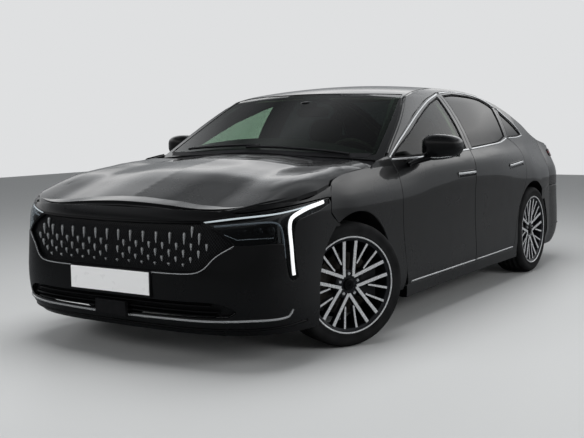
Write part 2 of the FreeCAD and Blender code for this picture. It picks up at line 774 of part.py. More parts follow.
def floor_pan():
    """Cabin floor with its tunnel, from firewall to heel board."""
    y0 = along(firewall_station)
    y1 = along(1.86)
    half = out(0.82)
    base = box(-half, half, y0, y1, floor_height, floor_height + floor_thickness)
    tunnel = box(-tunnel_width / 2, tunnel_width / 2, y0, y1, floor_height, floor_height + tunnel_height)
    hollow = box(-tunnel_width / 2 + floor_thickness, tunnel_width / 2 - floor_thickness, y0, y1,
                 floor_height - overrun, floor_height + tunnel_height - floor_thickness)
    heel = box(-out(0.70), out(0.70), y1 - floor_thickness, y1, floor_height, up(boot_floor_share))
    boot = box(-out(0.50), out(0.50), y1 - floor_thickness, along(2.80), up(boot_floor_share) - floor_thickness,
               up(boot_floor_share))
    return base.fuse([tunnel, heel, boot]).cut(hollow)


def section_wall(y, thickness, z0, z1, inset):
    """Cross wall of the cabin that follows the body section."""
    points = [(side_x(y, z) - inset, z) for z in spread(z0, z1, 9)]
    points += [(-x, z) for x, z in reversed(points)]
    return front_prism(points, y, y + thickness)


def screen_slab(depth_out, depth_in):
    return top_slab(screen_z, depth_out, depth_in, along(1.08), along(1.42), out(0.98), 9, 6)


def cowl():
    """Cowl panel under the foot of the windscreen."""
    seat = skin + glass_thickness
    return screen_slab(seat, cowl_depth).common(box(-out(0.845), out(0.845), along(1.1065), along(1.175), 0, body_height))


def firewall():
    """Firewall up to the cowl."""
    y0 = along(firewall_station) - bulkhead_thickness
    wall = section_wall(y0, bulkhead_thickness, floor_height, up(0.72), ring_back - overrun)
    return wall.common(screen_slab(cowl_depth, body_height))


def rear_wheelhouse():
    """Space of the left rear wheelhouse, its wall included."""
    return wheel_well(rear_axle_y, rear_arch_radius + liner_wall, rear_liner_inner)


def rear_bulkhead():
    """Wall behind the rear seat, with the parcel shelf."""
    y0 = along(rear_bulkhead_station)
    wall = section_wall(y0, bulkhead_thickness, up(boot_floor_share), up(shelf_share), ring_back - overrun)
    shelf = box(-out(0.66), out(0.66), y0, along(2.37), up(shelf_share) - bulkhead_thickness, up(shelf_share))
    return wall.cut(both(rear_wheelhouse())).fuse(shelf)


cowl_depth = 60.0
rail_outer = 455.0
rail_foot = 440.0
front_beam_low = 0.262
front_beam_high = 0.315
support_y_share = 0.17
wing_bracket = 26.0


def front_frame():
    """Front rails, bumper beam, radiator support, suspension crossmember and wing brackets."""
    wall_y = along(firewall_station) - bulkhead_thickness
    front_y = along(support_y_share)
    parts = [box(rail_outer - rail_width, rail_outer, front_y, wall_y, rail_foot, rail_foot + rail_height)]
    parts.append(box(0, rail_outer + overrun, front_y, front_y + rail_width / 2, up(0.235), up(0.505)))
    beam = nose_wall(bumper_wall, rail_width).common(box(0, out(0.70), nose_y, front_y, up(front_beam_low),
                                                          up(front_beam_high)))
    parts.append(beam)
    tie = box(rail_outer - rail_width, rail_outer, nose_y + rail_width / 2, front_y, up(front_beam_low), up(front_beam_high))
    parts.append(tie.cut(nose_wall(-overrun, bumper_wall)))
    parts.append(box(0, rail_outer, front_axle_y - rail_height, front_axle_y + rail_height, arm_low - arm_radius,
                     arm_low - arm_radius + rail_width))
    parts.append(box(rail_outer - rail_width, rail_outer, front_axle_y - rail_height, front_axle_y + rail_height,
                     arm_low, rail_foot))
    for y in (along(0.80), along(1.12)):
        bar = box(rail_outer - rail_width, half_width, y, y + wing_bracket, up(0.590), up(0.590) + wing_bracket)
        post = box(rail_outer - rail_width, rail_outer, y, y + wing_bracket, rail_foot, up(0.590) + wing_bracket)
        parts.append(largest(bar.cut(side_slab(-overrun, skin, 0.60, 1.25, up(0.112), up(0.70), 6, 12))))
        parts.append(post)
    for z in (arm_low, arm_high):
        arm = rod(V(rail_outer - rail_width / 2, front_axle_y, z), V(kingpin_x, front_axle_y, z), arm_radius)
        eye = rod(V(kingpin_x, front_axle_y, z - arm_radius), V(kingpin_x, front_axle_y, z + arm_radius), 2 * arm_radius)
        parts.append(arm.fuse(eye))
    half = parts[0].fuse(parts[1:])
    return both(half)


kingpin_x = wheel_face - kingpin_inset
arm_low = 152.0
arm_high = 510.0
arm_radius = 12.0
joint_gap = 0.3
upright_width = 50.0
upright_thickness = 34.0
hub_face = wheel_face - hub_recess
hub_thickness = 22.0
disc_x = hub_face - hub_thickness - 62.0
hat_radius = 82.0
caliper_clear = 4.0
caliper_width = 78.0
caliper_reach = 16.0
barrel_radius = 241.0
barrel_wall = 9.0
rim_width = 216.0
bead_height = 16.0
tread_width = 206.0
tyre_flats = 40


def steered(shape):
    """A piece of the left front corner, turned to the steering's rest angle."""
    turned = shape.copy()
    turned.rotate(V(kingpin_x, front_axle_y, 0), V(0, 0, 1), -steer_rest)
    return turned


def steered_right(shape):
    """The same piece on the right, turned the same way as the left."""
    turned = mirrored(shape)
    turned.rotate(V(-kingpin_x, front_axle_y, 0), V(0, 0, 1), -steer_rest)
    return turned


def ring_profile(points, axle_y):
    """Revolve of a profile, (x, radius) pairs, about a wheel's axle."""
    face = Part.Face(Part.makePolygon([V(x, axle_y, tyre_radius + r) for x, r in points + [points[0]]]))
    return upright(face.revolve(V(0, axle_y, tyre_radius), V(1, 0, 0), 360))


def faceted_ring(points, axle_y, sides):
    """The same profile taken round in flats, whose middles lie on the true radii."""
    grow = 1 / cos(pi / sides)
    loops = []
    for k in range(sides):
        a = 2 * pi * (k + 0.5) / sides
        loops.append([V(x, axle_y + r * grow * sin(a), tyre_radius - r * grow * cos(a)) for x, r in points])
    faces = []
    for first, second in zip(loops, loops[1:] + loops[:1]):
        for i in range(len(points)):
            a, b = first[i - 1], first[i]
            c, d = second[i], second[i - 1]
            faces.append(Part.Face(Part.makePolygon([a, b, c, d, a])))
    shell = Part.makeShell(faces)
    shell.sewShape()
    return upright(Part.makeSolid(Part.Shell(shell.Faces)))


def tyre(axle_y):
    """Low section tyre: crowned tread, round shoulders and sidewalls down to the beads."""
    mid = wheel_face - tyre_width / 2
    side = tyre_width / 2
    half_tread = tread_width / 2
    seat = barrel_radius
    outer = [(rim_width / 2 - bead_height, seat), (rim_width / 2 - rim_lip, rim_radius), (side, seat + 0.52 * (tyre_radius - seat)),
             (side - 2.0 * joint_gap, tyre_radius - 0.24 * (tyre_radius - seat)), (half_tread, tyre_radius - 0.06 * (tyre_radius - seat)),
             (half_tread * 0.6, tyre_radius)]
    points = [(mid + x, r) for x, r in outer] + [(mid - x, r) for x, r in reversed(outer)]
    wall = 0.16 * (tyre_radius - seat)
    inner = [(-rim_width / 2 + bead_height + wall, seat), (-side + wall, seat + 0.5 * (tyre_radius - seat)),
             (-half_tread + wall, tyre_radius - wall), (half_tread - wall, tyre_radius - wall),
             (side - wall, seat + 0.5 * (tyre_radius - seat)), (rim_width / 2 - bead_height - wall, seat)]
    points += [(mid + x, r) for x, r in inner]
    return faceted_ring(points, axle_y, tyre_flats)


def rim(axle_y):
    """Wheel: barrel with lips, hub with lug holes and five pairs of spokes with side branches."""
    mid = wheel_face - tyre_width / 2
    edge = rim_width / 2
    inner = barrel_radius - barrel_wall
    points = [(mid - edge, rim_radius), (mid - edge + rim_lip, rim_radius), (mid - edge + bead_height, barrel_radius),
              (mid + edge - bead_height, barrel_radius), (mid + edge - rim_lip, rim_radius), (mid + edge, rim_radius),
              (mid + edge, inner + rim_lip), (mid + edge - bead_height, inner), (mid - edge + rim_lip, inner),
              (mid - edge, inner + rim_lip)]
    wheel = ring_profile(points, axle_y)
    hub = rod(V(hub_face - hub_thickness, axle_y, tyre_radius), V(hub_face, axle_y, tyre_radius), hub_radius)
    cap = rod(V(hub_face, axle_y, tyre_radius), V(hub_face + rim_lip, axle_y, tyre_radius), cap_radius)
    spokes = []
    face_out = mid + edge - rim_lip
    for group in range(spoke_groups):
        for hand in (-1, 1):
            centre = 90 + group * 360 / spoke_groups
            root = centre + hand * spoke_root_angle
            tip = centre + hand * spoke_tip_angle
            branch = centre + hand * branch_tip_angle
            spokes.append(spoke(axle_y, hub_radius * 0.8, root, inner + 2, tip, spoke_width, face_out))
            start = 0.55 * root + 0.45 * tip
            spokes.append(spoke(axle_y, inner * 0.56, start, inner + 2, branch, spoke_width * 0.8, face_out))
    wheel = wheel.fuse([hub, cap] + spokes)
    holes = []
    for k in range(spoke_groups):
        a = radians(90 + k * 360 / spoke_groups)
        y = axle_y + lug_circle / 2 * cos(a)
        z = tyre_radius + lug_circle / 2 * sin(a)
        holes.append(rod(V(hub_face - hub_thickness / 2, y, z), V(wheel_face, y, z), lug_radius))
    return wheel.cut(Part.makeCompound(holes))


spoke_groups = 5
spoke_root_angle = 33.0
spoke_tip_angle = 9.0
branch_tip_angle = 27.0


def spoke(axle_y, r0, a0, r1, a1, width, face_out):
    """Spoke from an inner to an outer polar place: deep at the hub, its face rising to the rim."""
    start = (r0 * cos(radians(a0)), r0 * sin(radians(a0)))
    end = (r1 * cos(radians(a1)), r1 * sin(radians(a1)))
    length = sqrt((end[0] - start[0]) ** 2 + (end[1] - start[1]) ** 2)
    side = ((start[1] - end[1]) / length * width / 2, (end[0] - start[0]) / length * width / 2)
    rows = []
    for (y, z), face in ((start, hub_face), (end, face_out)):
        rows.append(Part.makePolygon([
            V(face, axle_y + y + side[0], tyre_radius + z + side[1]),
            V(face, axle_y + y - side[0], tyre_radius + z - side[1]),
            V(face - spoke_depth, axle_y + y - side[0] / 2, tyre_radius + z - side[1] / 2),
            V(face - spoke_depth, axle_y + y + side[0] / 2, tyre_radius + z + side[1] / 2),
            V(face, axle_y + y + side[0], tyre_radius + z + side[1])]))
    return upright(Part.makeLoft(rows, True, True))


def brake_disc(axle_y):
    """Disc and its hat, against the inside of the wheel's hub."""
    plate = rod(V(disc_x, axle_y, tyre_radius), V(disc_x + disc_thickness, axle_y, tyre_radius), disc_radius)
    hat = rod(V(disc_x, axle_y, tyre_radius), V(hub_face - hub_thickness, axle_y, tyre_radius), hat_radius)
    return plate.fuse(hat)


def caliper(axle_y, hand):
    """Caliper over the disc, ahead of or behind the axle."""
    y0 = axle_y + hand * (disc_radius - caliper_width)
    y1 = axle_y + hand * (disc_radius + caliper_reach)
    block = box(disc_x - 2 * caliper_reach, disc_x + disc_thickness + 2 * caliper_reach, y0, y1,
                tyre_radius - caliper_width, tyre_radius + caliper_width)
    slot = rod(V(disc_x - caliper_clear, axle_y, tyre_radius),
               V(disc_x + disc_thickness + caliper_clear, axle_y, tyre_radius), disc_radius + caliper_clear)
    limit = rod(V(disc_x - overrun, axle_y, tyre_radius), V(wheel_face, axle_y, tyre_radius), barrel_radius - 4 * barrel_wall)
    return block.cut(slot).common(limit)


def upright_block(axle_y, z0, z1):
    """Hub carrier with the bearing that the disc turns against."""
    x1 = disc_x - joint_gap
    arm = box(x1 - upright_thickness, x1, axle_y - upright_width / 2, axle_y + upright_width / 2, z0, z1)
    bearing = rod(V(x1 - upright_thickness, axle_y, tyre_radius), V(x1, axle_y, tyre_radius), bearing_radius)
    return arm.fuse(bearing)


def knuckle():
    """Steering knuckle with its caliper; its ends stand between the two arms' eyes."""
    z0 = arm_low + arm_radius + joint_gap
    z1 = arm_high - arm_radius - joint_gap
    x1 = disc_x - joint_gap
    body = upright_block(front_axle_y, z0, z1)
    body = body.fuse([rod(V(kingpin_x, front_axle_y, z0), V(kingpin_x, front_axle_y, z0 + upright_thickness), 2 * arm_radius),
                      rod(V(kingpin_x, front_axle_y, z1 - upright_thickness), V(kingpin_x, front_axle_y, z1), 2 * arm_radius)])
    bridge = box(x1 - upright_thickness, disc_x - caliper_clear, front_axle_y, front_axle_y + disc_radius - caliper_width / 2,
                 tyre_radius - bearing_radius / 2, tyre_radius + bearing_radius / 2)
    clear = rod(V(x1, front_axle_y, tyre_radius), V(wheel_face, front_axle_y, tyre_radius), disc_radius + caliper_clear)
    return body.cut(clear).fuse([bridge, caliper(front_axle_y, 1)])


def rear_axle():
    """Rear suspension beam, links, hub carriers and calipers."""
    top = up(boot_floor_share) - floor_thickness
    beam = box(0, rail_outer, rear_axle_y - rail_width, rear_axle_y + rail_width, top - rail_width, top)
    x1 = disc_x - joint_gap
    carrier = upright_block(rear_axle_y, tyre_radius - upright_width * 2, tyre_radius + upright_width * 2)
    link = rod(V(rail_outer - rail_width, rear_axle_y, tyre_radius), V(x1 - upright_thickness / 2, rear_axle_y, tyre_radius),
               2 * arm_radius)
    bridge = box(x1 - upright_thickness, disc_x - caliper_clear, rear_axle_y - disc_radius + caliper_width / 2, rear_axle_y,
                 tyre_radius - bearing_radius / 2, tyre_radius + bearing_radius / 2)
    return both(beam.fuse([carrier, link, bridge, caliper(rear_axle_y, -1)]))


liner_wall = 5.0
liner_inner = 455.0
rear_liner_inner = 460.0


def wheel_liner(axle_y, radius, inner_x, shell_limit):
    """Wheelhouse: inner wall and arched shell over the wheel, out to the body side."""
    outer = rod(V(inner_x, axle_y, tyre_radius), V(half_width, axle_y, tyre_radius), radius + liner_wall)
    hollow = rod(V(inner_x + liner_wall, axle_y, tyre_radius), V(half_width + overrun, axle_y, tyre_radius), radius)
    upper = box(0, body_width, axle_y - body_height, axle_y + body_height, tyre_radius, body_height)
    return outer.cut(hollow).common(upper).common(shell_limit)


def front_liner():
    inside = side_slab(bumper_wall, body_width / 2, 0.60, 1.25, up(0.112), up(0.70), 6, 12)
    shell = wheel_liner(front_axle_y, arch_radius, liner_inner, inside)
    slot = box(0, liner_inner + 4 * liner_wall, front_axle_y - 2 * rail_width, front_axle_y + 2 * rail_width, 0, arm_high + 3 * arm_radius)
    return shell.cut(slot)


def rear_liner():
    inside = side_slab(skin + shut_gap, body_width / 2, 1.75, 2.40, up(0.112), up(0.70), 5, 12)
    return wheel_liner(rear_axle_y, rear_arch_radius, rear_liner_inner, inside)


# Cabin
dash_low = 600.0
dash_high = 935.0
dash_depth = 330.0
seat_x = 370.0
seat_width = 500.0
seat_length = 520.0
seat_cushion = 150.0
seat_base = 150.0
seat_back_height = 600.0
seat_back_thickness = 120.0
headrest_width = 260.0
headrest_height = 150.0
front_seat_y = -330.0
rear_seat_y = 780.0
steering_radius = 185.0
steering_grip = 15.0
steering_x = 370.0
steering_y = -560.0
steering_z = 895.0
steering_tilt = 24.0
column_radius = 30.0
column_length = 360.0


def soft_box(x0, x1, y0, y1, z0, z1, radius):
    """Block with its long edges rounded, across the car."""
    block = box(x0, x1, y0, y1, z0, z1)
    return block.makeFillet(radius, [e for e in block.Edges if abs(e.tangentAt(0).x) > 0.9])


def dashboard():
    """Dashboard with a sloped face towards the seats and a centre console below."""
    y0 = along(firewall_station)
    half = out(0.755)
    section = [V(-half, y0, dash_low), V(-half, y0, dash_high + overrun / 2), V(-half, y0 + dash_depth * 0.55, dash_high),
               V(-half, y0 + dash_depth, dash_high - overrun), V(-half, y0 + dash_depth * 0.8, dash_low)]
    body = upright(Part.Face(Part.makePolygon(section + [section[0]])).extrude(V(2 * half, 0, 0)))
    console = box(-tunnel_width / 2, tunnel_width / 2, y0 + dash_depth * 0.3, front_seat_y + seat_length,
                  floor_height + tunnel_height, dash_low - overrun)
    stack = box(-tunnel_width / 2, tunnel_width / 2, y0 + dash_depth * 0.3, y0 + dash_depth * 0.75,
                dash_low - overrun, dash_high - 2 * overrun)
    return body.fuse([console, stack]).cut(column_bore())


def seat(x, y, width, base, back_height):
    """Seat on its base: cushion, leaning back and headrest."""
    floor = floor_height + floor_thickness
    foot = box(x - width / 3, x + width / 3, y + overrun, y + seat_length - overrun, floor, floor + base)
    cushion = soft_box(x - width / 2, x + width / 2, y, y + seat_length, floor + base, floor + base + seat_cushion, seat_cushion / 3)
    back = soft_box(x - width / 2, x + width / 2, y + seat_length - seat_back_thickness, y + seat_length,
                    floor + base + seat_cushion / 2, floor + base + seat_cushion / 2 + back_height, seat_back_thickness / 3)
    rest = soft_box(x - headrest_width / 2, x + headrest_width / 2, y + seat_length - seat_back_thickness, y + seat_length,
                    floor + base + seat_cushion / 2 + back_height - overrun / 2,
                    floor + base + seat_cushion / 2 + back_height + headrest_height, seat_back_thickness / 3)
    pivot = V(x, y + seat_length - seat_back_thickness / 2, floor + base + seat_cushion)
    for piece in (back, rest):
        piece.rotate(pivot, V(1, 0, 0), -seat_lean)
    return foot.fuse([cushion, back, rest])


seat_lean = 20.0
foot_setback = 40.0


def front_seats():
    left = seat(seat_x, front_seat_y, seat_width, seat_base, seat_back_height)
    return Part.makeCompound([left, mirrored(left)])


def rear_seat():
    """Bench on the rear floor, its back against the bulkhead."""
    floor = floor_height + floor_thickness
    half = out(0.66)
    y1 = along(rear_bulkhead_station)
    heel = along(1.86) - floor_thickness
    cushion = soft_box(-half, half, y1 - seat_length, y1 - seat_back_thickness / 2, floor + seat_base * 0.8,
                       floor + seat_base + seat_cushion, seat_cushion / 3)
    foot = box(-half, half, y1 - seat_length + foot_setback, heel, floor, floor + seat_base)
    back = box(-half, half, y1 - seat_back_thickness, y1, up(boot_floor_share), up(boot_floor_share) + seat_back_height * 0.92)
    under_floor = box(-half, half, heel, y1, 0, up(boot_floor_share))
    over_tunnel = box(-tunnel_width / 2, tunnel_width / 2, 0, tail_y, 0, floor_height + tunnel_height)
    return cushion.fuse([foot, back]).cut(under_floor).cut(over_tunnel).cut(both(rear_wheelhouse()))


def on_column(shape):
    """A piece made about the origin, set on the steering column's line."""
    shape.rotate(V(0, 0, 0), V(1, 0, 0), 90 - steering_tilt)
    shape.rotate(V(0, 0, 0), V(0, 0, 1), 180)
    shape.translate(V(steering_x, steering_y, steering_z))
    return shape


def column_bore():
    """Bearing space of the column in the dashboard."""
    bore = column_length + 2 * joint_gap
    return on_column(Part.makeCylinder(column_radius + joint_gap, bore, V(0, 0, -bore)))


def steering_wheel():
    """Rim, three spokes, hub and the column to the dashboard."""
    grip = [V(steering_radius + steering_grip * cos(radians(a)), 0, steering_grip * sin(radians(a)))
            for a in range(0, 360, 60)]
    wheel = upright(Part.Face(Part.makePolygon(grip + [grip[0]])).revolve(V(0, 0, 0), V(0, 0, 1), 360))
    hub = Part.makeCylinder(steering_radius * 0.32, 3 * steering_grip, V(0, 0, -2 * steering_grip))
    bars = [box(-steering_radius, steering_radius, -steering_grip, steering_grip, -steering_grip, steering_grip / 2),
            box(-steering_grip, steering_grip, -steering_radius, 0, -steering_grip, steering_grip / 2)]
    column = Part.makeCylinder(column_radius, column_length, V(0, 0, -column_length))
    return on_column(wheel.fuse([hub] + bars + [column]))


# Engine and exhaust
engine_width = 560.0
engine_length = 520.0
engine_height = 420.0
pipe_radius = 25.0
pipe_z = 251.0
muffler_length = 330.0
muffler_width = 640.0
muffler_height = 110.0
tip_radius = 36.0
tip_x = 560.0


def engine_block():
    base = arm_low - arm_radius + rail_width
    return box(-engine_width / 2, engine_width / 2, front_axle_y - engine_length * 0.7, front_axle_y + engine_length * 0.3,
               base, base + engine_height)


def exhaust():
    """Pipe in the tunnel, silencer under the boot and two tail pipes."""
    y0 = along(1.20)
    y1 = along(2.35)
    ceiling = floor_height + tunnel_height - floor_thickness
    boot = up(boot_floor_share) - floor_thickness
    pipe = rod(V(0, y0, pipe_z), V(0, y1, pipe_z), pipe_radius)
    hanger = box(-pipe_radius / 2, pipe_radius / 2, along(1.5), along(1.5) + pipe_radius, pipe_z, ceiling)
    drum = box(-muffler_width / 2, muffler_width / 2, y1, y1 + muffler_length, pipe_z - muffler_height / 2,
               pipe_z + muffler_height / 2)
    straps = [box(x, x + pipe_radius, y1 + muffler_length / 3, y1 + muffler_length / 2, pipe_z, boot)
              for x in (-muffler_width / 3, muffler_width / 3 - pipe_radius)]
    tips = []
    for hand in (-1, 1):
        bend_y = y1 + muffler_length * 0.8
        cross = rod(V(0, bend_y, pipe_z), V(hand * tip_x, bend_y, pipe_z), pipe_radius)
        tail = rod(V(hand * tip_x, bend_y - 1.5 * tip_radius, pipe_z), V(hand * tip_x, along(2.94), pipe_z), tip_radius)
        tips += [cross, tail]
    return pipe.fuse([hanger, drum] + straps + tips)


def mirror_left():
    """Door mirror: foot on the door's shoulder, arm and housing."""
    foot_y = along(mirror_station)
    foot_z = up(mirror_foot_share)
    x = side_x(foot_y, foot_z)
    head = V(out(mirror_head_share), foot_y + mirror_sweep, up(mirror_head_height_share))
    arm = rod(V(x - overrun, foot_y, foot_z), head, mirror_arm)
    shell = soft_box(head.x - mirror_width * 0.45, head.x + mirror_width * 0.55, head.y - mirror_length / 2,
                     head.y + mirror_length / 2, head.z - mirror_height * 0.45, head.z + mirror_height * 0.55,
                     mirror_length / 3)
    return arm.fuse(shell)


mirror_station = 1.235
mirror_foot_share = 0.632
mirror_head_share = 1.075
mirror_head_height_share = 0.700
mirror_sweep = 190.0
mirror_arm = 15.0
mirror_width = 210.0
mirror_length = 110.0
mirror_height = 130.0


def hinge_pair(axis_x, axis_y, heights):
    """Hinge knuckles of a door: the body's leaf below, the door's leaf above, for each height."""
    body = []
    leaf = []
    for z in heights:
        body.append(rod(V(axis_x, axis_y, z - hinge_length), V(axis_x, axis_y, z - joint_gap / 2), hinge_radius))
        body.append(box(axis_x - ring_back, axis_x, axis_y - hinge_radius, axis_y + hinge_radius, z - hinge_length,
                        z - hinge_length + hinge_leaf))
        leaf.append(rod(V(axis_x, axis_y, z + joint_gap / 2), V(axis_x, axis_y, z + hinge_length), hinge_radius))
        leaf.append(box(axis_x - hinge_radius, axis_x, axis_y, axis_y + 2 * hinge_radius, z + joint_gap / 2,
                        z + hinge_length))
    return body, leaf


def lid_hinge(x, y, z, lid_way, setback):
    """Knuckles of a hood or boot hinge, beside each other on a line across the car.

    setback is how far the line lies behind the body's edge. Returns the body's piece, the
    lid's piece and the space that each needs in the other.
    """
    length = lid_hinge_length
    radius = lid_hinge_radius
    body_end = y - lid_way * (lid_hinge_arm + setback)
    body = rod(V(x, y, z), V(x + length, y, z), radius)
    body = body.fuse(box(x, x + length, y, body_end, z - radius, z))
    lid = rod(V(x - joint_gap, y, z), V(x - joint_gap - length, y, z), radius)
    lid = lid.fuse(box(x - joint_gap - length, x - joint_gap, y, y + lid_way * lid_hinge_arm, z - radius, z))
    body_space = rod(V(x - joint_gap, y, z), V(x + length + joint_gap, y, z), radius + skin)
    if setback:
        body_space = box(x - joint_gap, x + length + joint_gap, y + lid_way * (radius + skin), body_end,
                         z - lid_thickness, z + lid_thickness)
    lid_space = rod(V(x, y, z), V(x - length - 2 * joint_gap, y, z), radius + skin)
    return body, lid, body_space, lid_space


lid_hinge_length = 22.0
lid_hinge_radius = 5.0
lid_hinge_arm = 12.0
boot_hinge_x = 150.0
boot_hinge_setback = 15.0
boot_hinge_y = along(2.413) + boot_hinge_setback
hinge_radius = 10.0
hinge_length = 34.0
hinge_leaf = 8.0
hinge_heights_share = (0.27, 0.49)
hood_hinge_x = 300.0
hood_hinge_y = along(1.1035)
hood_hinge_z = up(0.680)
boot_hinge_z = up(0.7517)


def build():
    """Every piece by its node name, cut clear of the pieces that it stands against."""
    roof = roof_panel()
    wings = fender()
    front_arch, rear_arch = front_liner(), rear_liner()
    nose, tail = front_bumper(), rear_bumper()
    frame = largest(side_frame().cut(roof.copy()).cut(wings.copy()).cut(rear_arch.copy()))
    door_f, door_r = cabin_doors()
    heights = [up(h) for h in hinge_heights_share]
    body_leaves, door_leaves = hinge_pair(front_hinge_x, front_hinge_y, heights)
    door_f = door_f.fuse(door_leaves)
    more_body, door_leaves = hinge_pair(rear_hinge_x, rear_hinge_y, heights)
    door_r = door_r.fuse(door_leaves)
    frame = frame.fuse(body_leaves + more_body)
    frames = both(frame.copy())
    mirror = mirror_left().cut(side_slab(0, ring_back + overrun, 1.10, 1.65, up(0.134), up(roof_reach_share), 16, 15))
    pieces = {}
    pairs = {"side_frame": frame, "door_front": door_f, "door_rear": door_r, "mirror": largest(mirror.cut(door_f.copy())),
             "glass_front": door_glass(front_window_shares, 1.10, 1.65),
             "glass_rear": door_glass(rear_window_shares, 1.50, 2.02)}
    for name, shape in pairs.items():
        pieces[name + "_l"] = shape
        pieces[name + "_r"] = mirrored(shape)
    cowl_panel = cowl().cut(frames).cut(roof)
    lid = boot_lid()
    bonnet = hood()
    body_hood, hood_leaf, hood_notch, cowl_notch = lid_hinge(hood_hinge_x, hood_hinge_y, hood_hinge_z, -1, 0)
    bonnet = bonnet.cut(both(hood_notch)).fuse(both(hood_leaf).Solids)
    cowl_panel = cowl_panel.cut(both(cowl_notch)).fuse(both(body_hood).Solids)
    body_boot, boot_leaf, lid_notch, roof_notch = lid_hinge(boot_hinge_x, boot_hinge_y, boot_hinge_z, 1,
                                                             boot_hinge_setback)
    lid = lid.cut(both(lid_notch)).fuse(both(boot_leaf).Solids)
    roof = roof.cut(both(roof_notch)).fuse(both(body_boot).Solids)
    quarter_light = door_glass(quarter_window_shares, 1.80, 2.20)
    screens = [largest(pane.cut(frames)) for pane in (windscreen(), rear_window())]
    rear_beam = rear_axle()
    wall = firewall().cut(frames).cut(roof)
    corner = Part.makeCompound([quarter_corner(), deck_sides()])
    pieces["fenders"] = both(wings)
    pieces["rear_corners"] = both(corner)
    pieces["headlamps"] = both(headlamp())
    pieces["fixed_glass"] = Part.makeCompound(screens + [quarter_light, mirrored(quarter_light)])
    pieces["floor_pan"] = floor_pan().cut(frames)
    pieces["cowl"] = cowl_panel
    pieces["bulkheads"] = Part.makeCompound([wall, rear_bulkhead().cut(frames)])
    pieces["roof_panel"] = roof
    pieces["front_bumper"] = nose
    pieces["rear_bumper"] = tail
    pieces["grilles"] = Part.makeCompound([grille(), lower_grille()])
    pieces["hood"] = bonnet
    pieces["boot_lid"] = lid
    pieces["tail_lamps"] = both(tail_lamp())
    pieces["boot_lamp"] = lid_lamp()
    pieces["front_frame"] = largest(front_frame().cut(cowl_panel.copy()))
    pieces["rear_axle"] = rear_beam
    arches = [largest(front_arch.cut(nose.copy())), largest(rear_arch.cut(tail.copy()).cut(rear_beam.copy()))]
    pieces["wheel_liners"] = Part.makeCompound(arches + [mirrored(shape) for shape in arches])
    pieces["dashboard"] = largest(dashboard().cut(cowl_panel.copy()))
    pieces["front_seats"] = front_seats()
    pieces["rear_seat"] = largest(rear_seat())
    pieces["steering_wheel"] = steering_wheel()
    pieces["engine_block"] = engine_block()
    pieces["exhaust"] = exhaust()
    for end, axle_y in (("front", front_axle_y), ("rear", rear_axle_y)):
        for kind, shape in (("tyre", tyre(axle_y)), ("rim", rim(axle_y)), ("disc", brake_disc(axle_y))):
            left, right = (steered(shape), steered_right(shape)) if end == "front" else (shape, mirrored(shape))
            pieces[kind + "_" + end + "_l"] = left
            pieces[kind + "_" + end + "_r"] = right
    pieces["knuckle_l"] = steered(knuckle())
    pieces["knuckle_r"] = steered_right(knuckle())
    return pieces


if __name__ == "__main__":
    os.makedirs("parts", exist_ok=True)
    for name, shape in build().items():
        export(name, shape)
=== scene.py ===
"""Sedan car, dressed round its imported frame. Metres; the car's left is +X and its front faces -Y.

The body is one set of curves: a side profile, centre lines and plan outlines at stations
along the car (0 nose, 1 front axle, 2 rear axle, 3 tail). Each panel is cut from it.
"""

import bpy
import numpy as np
from mathutils import Matrix, Vector
from mathutils.geometry import delaunay_2d_cdt


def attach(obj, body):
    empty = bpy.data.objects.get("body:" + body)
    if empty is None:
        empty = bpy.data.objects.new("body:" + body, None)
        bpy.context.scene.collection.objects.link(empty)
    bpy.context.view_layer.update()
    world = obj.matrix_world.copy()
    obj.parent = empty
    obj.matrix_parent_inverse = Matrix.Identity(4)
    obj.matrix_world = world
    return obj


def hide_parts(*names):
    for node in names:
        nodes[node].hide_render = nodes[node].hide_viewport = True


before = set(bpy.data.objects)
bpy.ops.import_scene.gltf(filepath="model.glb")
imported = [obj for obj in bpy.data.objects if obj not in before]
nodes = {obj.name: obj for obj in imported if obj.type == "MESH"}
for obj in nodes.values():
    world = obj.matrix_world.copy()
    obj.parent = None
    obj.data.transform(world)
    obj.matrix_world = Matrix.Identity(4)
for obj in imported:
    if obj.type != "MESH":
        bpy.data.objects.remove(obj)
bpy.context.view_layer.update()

# Overall sizes
wheelbase = 2.800
front_overhang = 0.920
rear_overhang = 1.090
half_width = 0.920
height = 1.430
nose_y = -(front_overhang + wheelbase + rear_overhang) / 2
tail_y = -nose_y
front_axle = nose_y + front_overhang
rear_axle = front_axle + wheelbase
wheel_z = 0.331
arch_radius = 0.385
rear_arch_radius = 0.378
shut_gap = 0.005
# Left and right: the hand that X is multiplied by, and the letter in the names
sides = ((1, "l"), (-1, "r"))

# Body curves, in shares: the profile pairs height with half width; the tapers pair a station with the
# share of that half width; the lines pair a station with height; the crown pairs half width with the
# drop below its line; the rakes pair height with how far back the surface stands, over the height
profile = [
    (0.112, 0.943), (0.154, 0.967), (0.210, 0.984), (0.294, 0.980), (0.392, 0.974), (0.501, 0.976),
    (0.559, 0.982), (0.601, 0.980), (0.643, 0.966), (0.671, 0.943), (0.692, 0.926), (0.769, 0.870),
    (0.839, 0.807), (0.909, 0.730), (0.944, 0.683), (0.969, 0.625), (0.983, 0.565),
]
lower_taper = [
    (0.60, 0.985), (0.783, 0.985), (1.0, 1.0), (1.19, 0.997), (1.53, 1.0), (2.0, 1.0),
    (2.26, 0.985), (2.445, 0.96), (2.70, 0.90),
]
belt_taper = [
    (0.60, 0.94), (0.783, 0.94), (1.0, 0.945), (1.19, 0.95), (1.352, 0.985), (1.53, 1.0),
    (1.709, 0.997), (1.887, 0.968), (2.17, 0.92), (2.537, 0.87), (2.70, 0.84),
]
